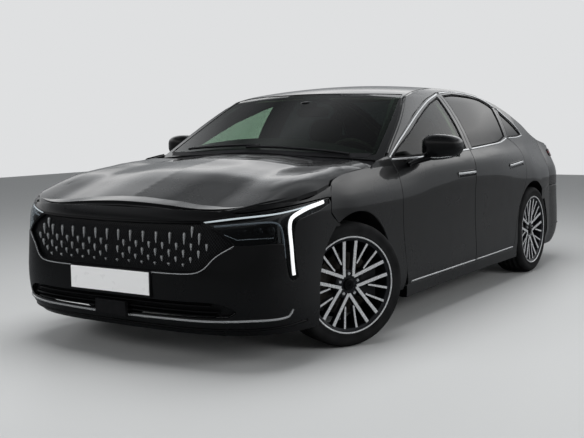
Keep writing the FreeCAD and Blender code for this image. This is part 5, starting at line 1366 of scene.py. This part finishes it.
handles = {"front": handle(-0.18, 0.105, 0.840, 0.0), "rear": handle(0.785, 1.105, 0.848, 0.014)}
for hand, end in sides:
    body = f"door_front_{end}"
    piece(f"mirror_housing_{end}", *handed(mirror_shell(), hand), body, paint, "paint",
          stands_for=[f"mirror_{end}"])
    piece(f"mirror_glass_{end}", *handed(mirror_glass, hand), body, chrome, "glazing")
    piece(f"mirror_moulding_{end}", *handed(mirror_moulding, hand), body, chrome, "trim_black")
    piece(f"mirror_arm_{end}", *handed(mirror_arm, hand), body, gloss_plastic, "trim_black")
    for label, (grip, cup) in handles.items():
        body = f"door_{label}_{end}"
        piece(f"handle_{label}_{end}", *handed(grip, hand), body, chrome, "trim_black")
        piece(f"handle_cup_{label}_{end}", *handed(cup, hand), body, gloss_plastic, "trim_black")

# Wheels, made about the left one's axle with its middle plane at wheel_mid
kingpin_x = 0.780
wheel_mid = 0.7875
rim_turn = np.radians(-28.0)
bead_r, lip_r, barrel_r = 0.241, 0.256, 0.2335
spoke_groups = 5
spoke_root_angle, spoke_tip_angle, branch_root_angle, branch_tip_angle = 34.0, 9.0, 23.5, 27.0
spoke_root_r, branch_root_r = 0.050, 0.118
hub_reach, rim_reach = 0.0835, 0.0985
lug_circle_r = 0.05715


def on_wheel(data, end, hand):
    """A mesh made for the left wheel set on one of the four; the front ones are steered."""
    verts, faces = handed((np.array(data[0], float), data[1]), hand)
    if end == "front":
        c, s = np.cos(rim_turn), np.sin(rim_turn)
        x = verts[:, 0] - hand * kingpin_x
        y = verts[:, 1].copy()
        verts[:, 0] = hand * kingpin_x + c * x - s * y
        verts[:, 1] = s * x + c * y
    verts[:, 1] += front_axle if end == "front" else rear_axle
    return verts, faces


def wheel_ring(section, count=96):
    """A section (radius, distance from the wheel's middle) turned about the axle."""
    return turned(section, (wheel_mid, 0.0, wheel_z), (1, 0, 0), count)


def tyre_section():
    """Low section tyre: tread with four grooves, rounded shoulders, sidewall with a rim guard."""
    side = [(bead_r + 0.001, 0.092), (bead_r + 0.012, 0.1005), (lip_r + 0.001, 0.1045),
            (lip_r + 0.004, 0.1095), (lip_r + 0.010, 0.1100), (lip_r + 0.014, 0.1085), (0.285, 0.1115),
            (0.296, 0.1125), (0.308, 0.1105), (0.318, 0.1045), (0.3245, 0.0965), (0.3285, 0.0860)]
    groove = [(0.3305, 0.0055), (0.3235, 0.0040), (0.3235, -0.0040), (0.3305, -0.0055)]
    tread = [(0.3290, 0.080)] + [(r, centre + x) for centre in (0.056, 0.019) for r, x in groove]
    outer = side + tread
    return outer + [(r, -x) for r, x in reversed(outer)] + [(0.318, -0.085), (0.321, 0.0), (0.318, 0.085)]


def spoke_path(r0, a0, r1, a1, count=9):
    """Middle line of a spoke's face between two polar places; it rises from hub to rim as the
    share of the way to the power 1.4."""
    start = (r0 - spoke_root_r) / (r1 - spoke_root_r)
    foot = hub_reach + (rim_reach - hub_reach) * start ** 1.4
    s = np.linspace(0, 1, count)
    a0, a1 = np.radians([a0, a1])
    p0 = np.array([r0 * np.cos(a0), r0 * np.sin(a0)])
    p1 = np.array([r1 * np.cos(a1), r1 * np.sin(a1)])
    flat = p0 + (p1 - p0) * s[:, None]
    reach = foot + (rim_reach - foot) * s ** 1.4
    return np.column_stack([wheel_mid + reach, flat[:, 0], wheel_z + flat[:, 1]])


def spoke_mesh(path, width0, width1, deep, sink=0.0):
    """A spoke: flat turned face with small bevels over a body that narrows inwards."""
    side, top = frames_along(path, (1, 0, 0))
    width = np.linspace(width0, width1, len(path))[:, None]
    section = ((0.5, 0.0015), (0.44, 0.0), (-0.44, 0.0), (-0.5, 0.0015), (-0.42, deep), (0.42, deep))
    verts = np.stack([path + side * share * width - top * (down + sink) for share, down in section], 1)
    return (verts.reshape(-1, 3),
            [tube_faces(len(path), len(section))[:, ::-1]] + end_faces(len(path), len(section)))


silver, dark = [], []
for group in range(spoke_groups):
    centre = 90 + 360 / spoke_groups * group
    for way in (-1, 1):
        for r0, a0, a1, w0, w1 in ((spoke_root_r, spoke_root_angle, spoke_tip_angle, 0.017, 0.019),
                                   (branch_root_r, branch_root_angle, branch_tip_angle, 0.009, 0.013)):
            path = spoke_path(r0, centre + way * a0, barrel_r, centre + way * a1)
            silver.append(spoke_mesh(path, w0, w1, 0.004))
            dark.append(spoke_mesh(path, w0 * 1.10, w1 * 1.15, 0.030, 0.0035))
barrel = [(0.2575, 0.108), (0.2545, 0.1085), (0.2515, 0.1075), (0.2430, 0.0985), (0.2335, 0.0930),
          (0.2320, -0.094), (0.2500, -0.1075), (0.2560, -0.108), (0.2560, -0.100), (0.2410, -0.092),
          (0.2410, 0.092), (0.2560, 0.100)]
silver_ring = [(0.2580, 0.1070), (0.2565, 0.1095), (0.2535, 0.1095), (0.2500, 0.1070), (0.2530, 0.1060)]
hub_section = [(0.0, 0.0760), (0.070, 0.0760), (0.078, 0.0720), (0.078, 0.0500), (0.0, 0.0500)]
cap_section = [(0.0, 0.0905), (0.026, 0.0900), (0.0300, 0.0880), (0.0315, 0.0760), (0.0, 0.0760)]
nut_section = [(0.0, 0.086), (0.0075, 0.086), (0.0095, 0.083), (0.0095, 0.074), (0.0, 0.074)]
disc_section = [(0.165, 0.0275), (0.165, -0.0005), (0.060, -0.0005), (0.060, 0.060), (0.078, 0.060),
                (0.082, 0.055), (0.082, 0.0275)]
nuts = []
for a in np.radians(90 + 360 / spoke_groups * np.arange(spoke_groups)):
    spot = (wheel_mid, lug_circle_r * np.cos(a), wheel_z + lug_circle_r * np.sin(a))
    nuts.append(turned(nut_section, spot, (1, 0, 0), 6))
# Name, mesh, material, slot, the node that it stands for and whether it is smooth
wheel_pieces = [
    ("tyre_tread", wheel_ring(tyre_section(), 128), rubber, "tyre", "tyre", True),
    ("rim_barrel", merged([wheel_ring(barrel), wheel_ring(hub_section, 64)] + dark), painted_alloy, "alloy",
     "rim", False),
    ("rim_spokes", merged(silver + [wheel_ring(silver_ring)]), turned_alloy, "alloy", None, False),
    ("wheel_cap", wheel_ring(cap_section, 48), gloss_plastic, "trim_black", None, True),
    ("wheel_nuts", merged(nuts), chrome, "steel", None, False),
    ("brake_disc", wheel_ring(disc_section), cast_iron, "iron", "disc", False),
]
for end in ("front", "rear"):
    for hand, letter in sides:
        for label, data, material, slot, node, smooth_all in wheel_pieces:
            piece(f"{label}_{end}_{letter}", *on_wheel(data, end, hand), f"wheel_{end}_{letter}", material,
                  slot, stands_for=[f"{node}_{end}_{letter}"] if node else (), smooth_all=smooth_all)

# Cabin: headlining, seats, dashboard, steering wheel, inner mirror and pillar trims


def leaned(data, pivot, degrees):
    """The mesh turned about a line across the car through the pivot, top to the rear."""
    verts, faces = data
    c, s = np.cos(np.radians(degrees)), np.sin(np.radians(degrees))
    v = np.asarray(verts) - pivot
    return np.stack([v[:, 0], c * v[:, 1] + s * v[:, 2], -s * v[:, 1] + c * v[:, 2]], -1) + pivot, faces


shell("headliner", [inset(roof_loop, 0.030), inset(screen_loop, -0.006), inset(back_loop, -0.006)], body_top,
      "body", headlining, "cabin_trim", depth=0.006, raised=-0.030, spacing=0.06)
seat_x, seat_lean = 0.37, 18
seat_parts = []
for x in (-seat_x, seat_x):
    pivot = np.array([x, 0.13, 0.49])
    seat_parts.append(blob((x, -0.07, 0.435), (0.50, 0.54, 0.20), 4.0))
    seat_parts += [blob((x + out, -0.07, 0.470), (0.09, 0.50, 0.18), 3.0) for out in (-0.215, 0.215)]
    back = [blob((x, 0.13, 0.76), (0.42, 0.11, 0.62), 3.6)]
    back += [blob((x + out, 0.115, 0.74), (0.10, 0.15, 0.52), 2.8) for out in (-0.200, 0.200)]
    back.append(blob((x, 0.115, 1.135), (0.27, 0.10, 0.19), 3.0))
    seat_parts.append(leaned(merged(back), pivot, seat_lean))
    for out in (-0.06, 0.06):
        post_line = [(x + out, 0.14, z) for z in (1.00, 1.06, 1.12)]
        post = swept(post_line, rounded(0.012, 0.012, 0.006), (0, 1, 0))
        seat_parts.append(leaned(post, pivot, seat_lean))
piece("front_seat_cushions", *merged(seat_parts), "body", leather, "seat", stands_for=["front_seats"])
back = [blob((x, 1.22, 0.76), (0.58, 0.14, 0.60), 4.0) for x in (-0.30, 0.30)]
back += [blob((x, 1.21, 1.08), (0.24, 0.09, 0.14), 3.0) for x in (-0.36, 0.0, 0.36)]
bench = [blob((0, 1.02, 0.47), (1.16, 0.52, 0.22), 5.0),
         leaned(merged(back), np.array([0.0, 1.22, 0.50]), 16)]
piece("rear_bench_cushions", *merged(bench), "body", leather, "seat", stands_for=["rear_seat"])

dash_half, dash_bow = 0.690, 0.018
dash_section = [(-1.035, 0.60), (-0.74, 0.60), (-0.715, 0.70), (-0.700, 0.80), (-0.708, 0.86),
                (-0.745, 0.895), (-0.83, 0.915), (-0.93, 0.935), (-1.035, 0.950)]
dash_x = np.linspace(-dash_half, dash_half, 15)
verts = np.array([[(x, y + dash_bow * (x / dash_half) ** 2, z) for y, z in dash_section] for x in dash_x])
dash = (verts.reshape(-1, 3), [tube_faces(len(dash_x), len(dash_section))]
        + [face[:, ::-1] for face in end_faces(len(dash_x), len(dash_section))])
binnacle = blob((0.37, -0.790, 0.925), (0.40, 0.20, 0.090), 3.5)
console = slab_box((-0.120, -0.95, 0.290), (0.120, 0.19, 0.545), 0.03)
piece("dashboard_moulding", *merged([dash, binnacle, console]), "body", grained_plastic, "cabin_trim",
      stands_for=["dashboard"])
screen_face = slab_box((-0.16, -0.722, 0.790), (0.16, -0.708, 0.960), 0.004)
meter = slab_box((0.24, -0.705, 0.885), (0.50, -0.693, 0.965), 0.004)
screens = [leaned(screen_face, np.array([0, -0.715, 0.80]), -8),
           leaned(meter, np.array([0, -0.70, 0.89]), -10)]
piece("dashboard_screens", *merged(screens), "body", gloss_plastic, "cabin_trim", smooth_all=False)

steering_mid = np.array([0.37, -0.56, 0.895])
steering_tilt = np.radians(24.0)
column = np.array([0.0, np.cos(steering_tilt), np.sin(steering_tilt)])
wheel_up = np.array([0.0, -column[2], column[1]])
grip_ring = [(0.185 + 0.0145 * np.cos(a), 0.0165 * np.sin(a))
             for a in np.linspace(0, 2 * np.pi, 12, endpoint=False)]
hub_ring = [(0.0, 0.012), (0.052, 0.008), (0.064, -0.010), (0.058, -0.045), (0.0, -0.045)]
column_ring = [(0.030, -0.040), (0.030, -0.355), (0.0, -0.355), (0.0, -0.040)]
steer_parts = [turned(section, steering_mid, column, count)
               for section, count in ((grip_ring, 64), (hub_ring, 32), (column_ring, 20))]
accents = []
for way in (np.array([1.0, 0, 0]), np.array([-1.0, 0, 0]), -wheel_up):
    line = np.linspace(steering_mid + way * 0.045, steering_mid + way * 0.178, 5) - column * 0.012
    steer_parts.append(swept(line, rounded(0.040, 0.018, 0.008), column, scale=np.linspace(1.2, 0.8, 5)))
    accents.append(swept(line + column * 0.009, rounded(0.010, 0.006, 0.003), column))
piece("steering_wheel_grip", *merged(steer_parts), "steering_wheel", leather, "cabin_trim",
      stands_for=["steering_wheel"])
piece("steering_wheel_accents", *merged(accents), "steering_wheel", chrome, "cabin_trim")

mirror_spot = np.array([0.0, -0.475, 1.245])
piece("inner_mirror", *merged([blob(mirror_spot, (0.250, 0.030, 0.070), 3.5),
                               blob(mirror_spot + (0, -0.045, 0.045), (0.090, 0.120, 0.050), 3.0)]),
      "body", gloss_plastic, "cabin_trim")
cluster = closed_loop(*straight((-0.105, -0.368), (0.105, -0.368), (0.060, -0.505), (-0.060, -0.505)),
                      radius=0.012)
shell("camera_cluster_frit", [cluster], body_top, "body", frit, "trim_black", depth=0.001, lip=0.0002,
      raised=-0.0080, spacing=panel_net, steps=1)
post_z = np.linspace(0.985, 1.335, 8)
post_y = np.full(8, 0.125)
post = np.stack([side_x(post_y, post_z) - 0.050, post_y, post_z], -1)
pillar_trim = swept(post, rounded(0.110, 0.030, 0.012), (1, 0, 0))
for hand, end in sides:
    piece(f"pillar_trim_{end}", *handed(pillar_trim, hand), "body", headlining, "cabin_trim")

# Scuttle, wipers and roof fin
scuttle = plan_loop(plan_run((1.1065, 0.0), (1.110, 0.35), (1.130, 0.62), (1.150, 0.775)),
                    plan_run((1.150, 0.775), (1.168, 0.800)),
                    plan_run((1.120, 0.0), (1.125, 0.35), (1.147, 0.62), (1.168, 0.800)), 0.006)
shell("scuttle_grille", [scuttle], body_top, "body", grained_plastic, "trim_black", depth=0.012,
      lip=0.003, raised=0.0035, spacing=wide_net)
wipers = [strip(body_top, points, 0.016, 0.012, 0.014, 1 / 3, step=0.04)
          for points in (((0.62, -1.085), (0.30, -1.125), (-0.06, -1.140)),
                         ((0.02, -1.120), (-0.30, -1.105), (-0.56, -1.065)))]
piece("windscreen_wipers", *merged(wipers), "body", grained_plastic, "trim_black")


def fin_mesh(first_y=0.86, last_y=1.02, tall=0.052, wide=0.034, rows=10):
    """Roof fin: an arched section whose height and width swell along it as powers of a sine."""
    share = np.linspace(0, 1, rows)
    y = np.linspace(first_y, last_y, rows)
    foot = np.column_stack([np.zeros(rows), y, top_z(np.zeros(rows), y) + 0.001])
    rise = tall * np.sin(np.pi * np.minimum(1.0, share * 0.62 + 0.02)) ** 1.2 * np.where(share < 0.9, 1, 0.8)
    half = wide * np.sin(np.pi * (0.12 + 0.76 * share)) ** 0.8
    arch = np.array([(1, 0), (0.7, 0.35), (0.25, 0.8), (0, 1), (-0.25, 0.8), (-0.7, 0.35), (-1, 0)])
    out, up = half[:, None] * arch[:, 0], rise[:, None] * arch[:, 1]
    offset = np.stack([out, np.zeros_like(out), up], -1)
    return ((foot[:, None] + offset).reshape(-1, 3),
            [tube_faces(rows, len(arch))] + [face[:, ::-1] for face in end_faces(rows, len(arch))])


piece("roof_fin", *fin_mesh(), "body", paint, "paint")

# Tail: boot lid, bumper and corners; tail coordinates grow to the right, so the right side is first
tail_sides = ((1, "r"), (-1, "l"))
lid_half, lid_gap, edge_roll = 0.552, 0.003, 0.012
rim_drop = (0.0, edge_roll)
lid_s = tail_s_at_x(lid_half, 0.70)
side_s = float(tail_at_y(np.array(quarter_end_y), 0.70)[0])
lid_rim = rim_run(np.linspace(0, lid_s - lid_gap, 12), tail_place)
lid_foot = np.stack([np.linspace(0, lid_s - lid_gap, 6), np.full(6, tail_break + 0.004)], -1)
lid_face = nose_loop(*chained(lid_foot, lid_rim[-1] - rim_drop, (lid_rim - rim_drop)[-2::-1]))
painted("boot_lid_face", [lid_face], tail_place, "boot_lid", lid_fold, spacing=panel_net)
lid_back = tail_place(*lid_rim.T)[:, :2] * (-1, 1) - (0, 0.002)
lid_front_y = float(along(2.418))
lid_side_x = lid_half - lid_gap
lid_plan = closed_loop(across_run([(0.0, lid_front_y), (lid_side_x, lid_front_y)]),
                       np.array([(lid_side_x, lid_front_y), (lid_side_x, lid_back[-1, 1])]),
                       np.vstack([lid_back[::-1], (lid_back * (-1, 1))[1:]]),
                       np.array([(-lid_side_x, lid_back[-1, 1]), (-lid_side_x, lid_front_y)]))


def tail_lip(loop):
    """Roll of 12 mm along the tail edge, 3 mm elsewhere."""
    return np.where(loop[:, 1] > 2.05, edge_roll, 0.003)[:, None]


def corner_lip(loop):
    """Roll of 12 mm along the outer and tail edges, 3 mm elsewhere."""
    return np.where((loop[:, 0] > 0.60) | (loop[:, 1] > 2.20), edge_roll, 0.003)[:, None]


painted("boot_lid_top", [lid_plan], body_top, "boot_lid", lid_fold, lip=tail_lip, spacing=wide_net, steps=6)
corner_rim = rim_run(np.linspace(lid_s + lid_gap, side_s, 16), tail_place)
corner_loop = band(np.array([(lid_s + lid_gap, tail_break + lid_gap), (side_s, tail_break + lid_gap)]),
                   corner_rim - rim_drop)
corner_back = tail_place(*corner_rim.T)[:, :2] * (-1, 1) - (0.001, 0.001)
corner_y = np.linspace(along(2.418), corner_back[-1, 1], 6)
corner_side = np.stack([side_x(corner_y, edge_z(corner_y)) - 0.002, corner_y], -1)
corner_start = (lid_half + lid_gap, lid_front_y)
corner_plan = closed_loop(np.array([corner_start, corner_side[0]]),
                          np.vstack([corner_side[:-1], corner_back[::-1]]),
                          np.array([corner_back[0], corner_start]), radius=0.003)
rear_arch_part = rear_arch[rear_arch[:, 0] > float(along(2.21)) + 0.002]
rear_bumper_loop = nose_loop(*chained(
    [(0.0, tail_break - 0.002), (side_s, tail_break - 0.002)],
    tail_at_y(along(np.array([tail_start, 2.30, 2.21])), height * np.array([0.460, 0.438, 0.383])),
    tail_at_y(*rear_arch_part.T), bumper_foot), radius=0.004)
painted("rear_bumper_skin", [inset(rear_bumper_loop, 0.001)], tail_place, "body", tail_fold,
        spacing=small_net)
for hand, end in tail_sides:
    painted(f"rear_corner_{end}", [corner_loop], tail_place, "body", lid_fold, hand=hand, spacing=panel_net)
    painted(f"rear_deck_side_{end}", [corner_plan], body_top, "body", lid_fold, lip=corner_lip, hand=-hand,
            spacing=panel_net, steps=6, stands_for=["rear_corners"] if hand > 0 else ())

# Tail lamps: a light bar over corners and lid, with a glowing line behind red covers

# Red acrylic, moulded over a diffuser: a soft even glow
red_glow, tree, shader = finish("red_diffused_light_guide", "#b3121c", 0.25, Emission_Strength=0.25)
shader.inputs["Emission Color"].default_value = linear("#ff2030")
varied(tree, shader, "Roughness", 0.03, 0.22, 0.30)
lamp_top = 0.928
lamp_out_s = tail_s_at_x(0.79, 0.90)
lamp_in_s, boot_lamp_s = lid_s + 0.008, lid_s - 0.012
tail_lamp_loop = closed_loop(*straight((lamp_in_s, 0.846), (lamp_out_s, 0.876), (lamp_out_s, lamp_top),
                                       (lamp_in_s, lamp_top)), radius=0.008)
boot_lamp_loop = nose_loop(*chained([(0.0, 0.834), (boot_lamp_s, 0.846)], [(boot_lamp_s, lamp_top)],
                                    [(0.0, lamp_top)]), radius=0.008)


def lamp_pair(label, suffix, loop, body, hand, spacing, stands_for):
    """Back plate and red cover of a tail lamp."""
    shell(f"{label}_back{suffix}", [inset(loop, -0.002)], tail_place, body, gloss_plastic, "lamp_red",
          depth=0.003, lip=0.001, hand=hand, raised=0.0030, spacing=spacing, stands_for=stands_for)
    shell(f"{label}_cover{suffix}", [loop], tail_place, body, red_cover, "lamp_red",
          depth=0.005, lip=0.003, hand=hand, raised=0.0090, spacing=spacing)


for hand, end in tail_sides:
    lamp_pair("tail_lamp", f"_{end}", tail_lamp_loop, "body", hand, panel_net,
              ["tail_lamps"] if hand > 0 else ())
    guide = [(lamp_in_s * hand, 0.893), ((lamp_in_s + lamp_out_s) / 2 * hand, 0.900),
             ((lamp_out_s - 0.02) * hand, 0.905)]
    piece(f"tail_light_guide_{end}", *strip(tail_place, guide, 0.016, 0.003, 0.0050), "body", red_glow,
          "lamp_red")
lamp_pair("boot_lamp", "", boot_lamp_loop, "boot_lid", 1, wide_net, ["boot_lamp"])
# Name, half line, width, thickness, height off the tail, body, material and slot
for label, half, width, thick, raised, body, material, slot in (
        ("boot_light_guide", [(0.0, 0.887), (0.28, 0.888), (0.535, 0.891)], 0.016, 0.003, 0.0050, "boot_lid",
         red_glow, "lamp_red"),
        ("rear_bright_moulding", [(0.0, 0.300), (0.55, 0.300), (0.95, 0.312)], 0.012, 0.008, moulding_proud,
         "body", chrome, "trim_black"),
        ("rear_diffuser", [(0.0, 0.215), (0.50, 0.215), (0.85, 0.225)], 0.085, 0.010, moulding_proud, "body",
         grained_plastic, "trim_black")):
    piece(label, *strip(tail_place, across_run(half), width, thick, raised), body, material, slot)
rear_face = float(tail_place(0.0, 0.70)[1])
rear_plate = slab_box((-plate_half, rear_face + 0.004, 0.655), (plate_half, rear_face + 0.010, 0.767), 0.0015)
piece("rear_number_plate", *rear_plate, "boot_lid", plate_paint, "trim_black", smooth_all=False)
tip_section = [(0.040, 2.335), (0.0425, 2.380), (0.041, 2.386), (0.038, 2.380), (0.036, 2.335)]
tips = [turned(tip_section, (x, 0, 0.251), (0, 1, 0), 32) for x in (-0.56, 0.56)]
piece("exhaust_tips", *merged(tips), "body", chrome, "steel")

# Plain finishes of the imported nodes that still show, by how their names start
node_finish = {"side_frame": paint, "door": paint, "hood": paint, "boot_lid": paint, "fenders": paint,
               "roof": paint, "rear_c": paint, "front_b": paint, "rear_b": paint, "dash": grained_plastic,
               "front_seats": leather, "rear_seat": leather, "steering": leather, "mirror": gloss_plastic,
               "headlamps": gloss_plastic, "grilles": gloss_plastic, "wheel_liners": grained_plastic,
               "cowl": grained_plastic, "floor_pan": carpet, "engine": cast_iron, "tail_lamps": red_cover,
               "boot_lamp": red_cover}
for name, obj in nodes.items():
    chosen = next((look for start, look in node_finish.items() if name.startswith(start)), coated_steel)
    obj.data.materials.clear()
    obj.data.materials.append(chosen)
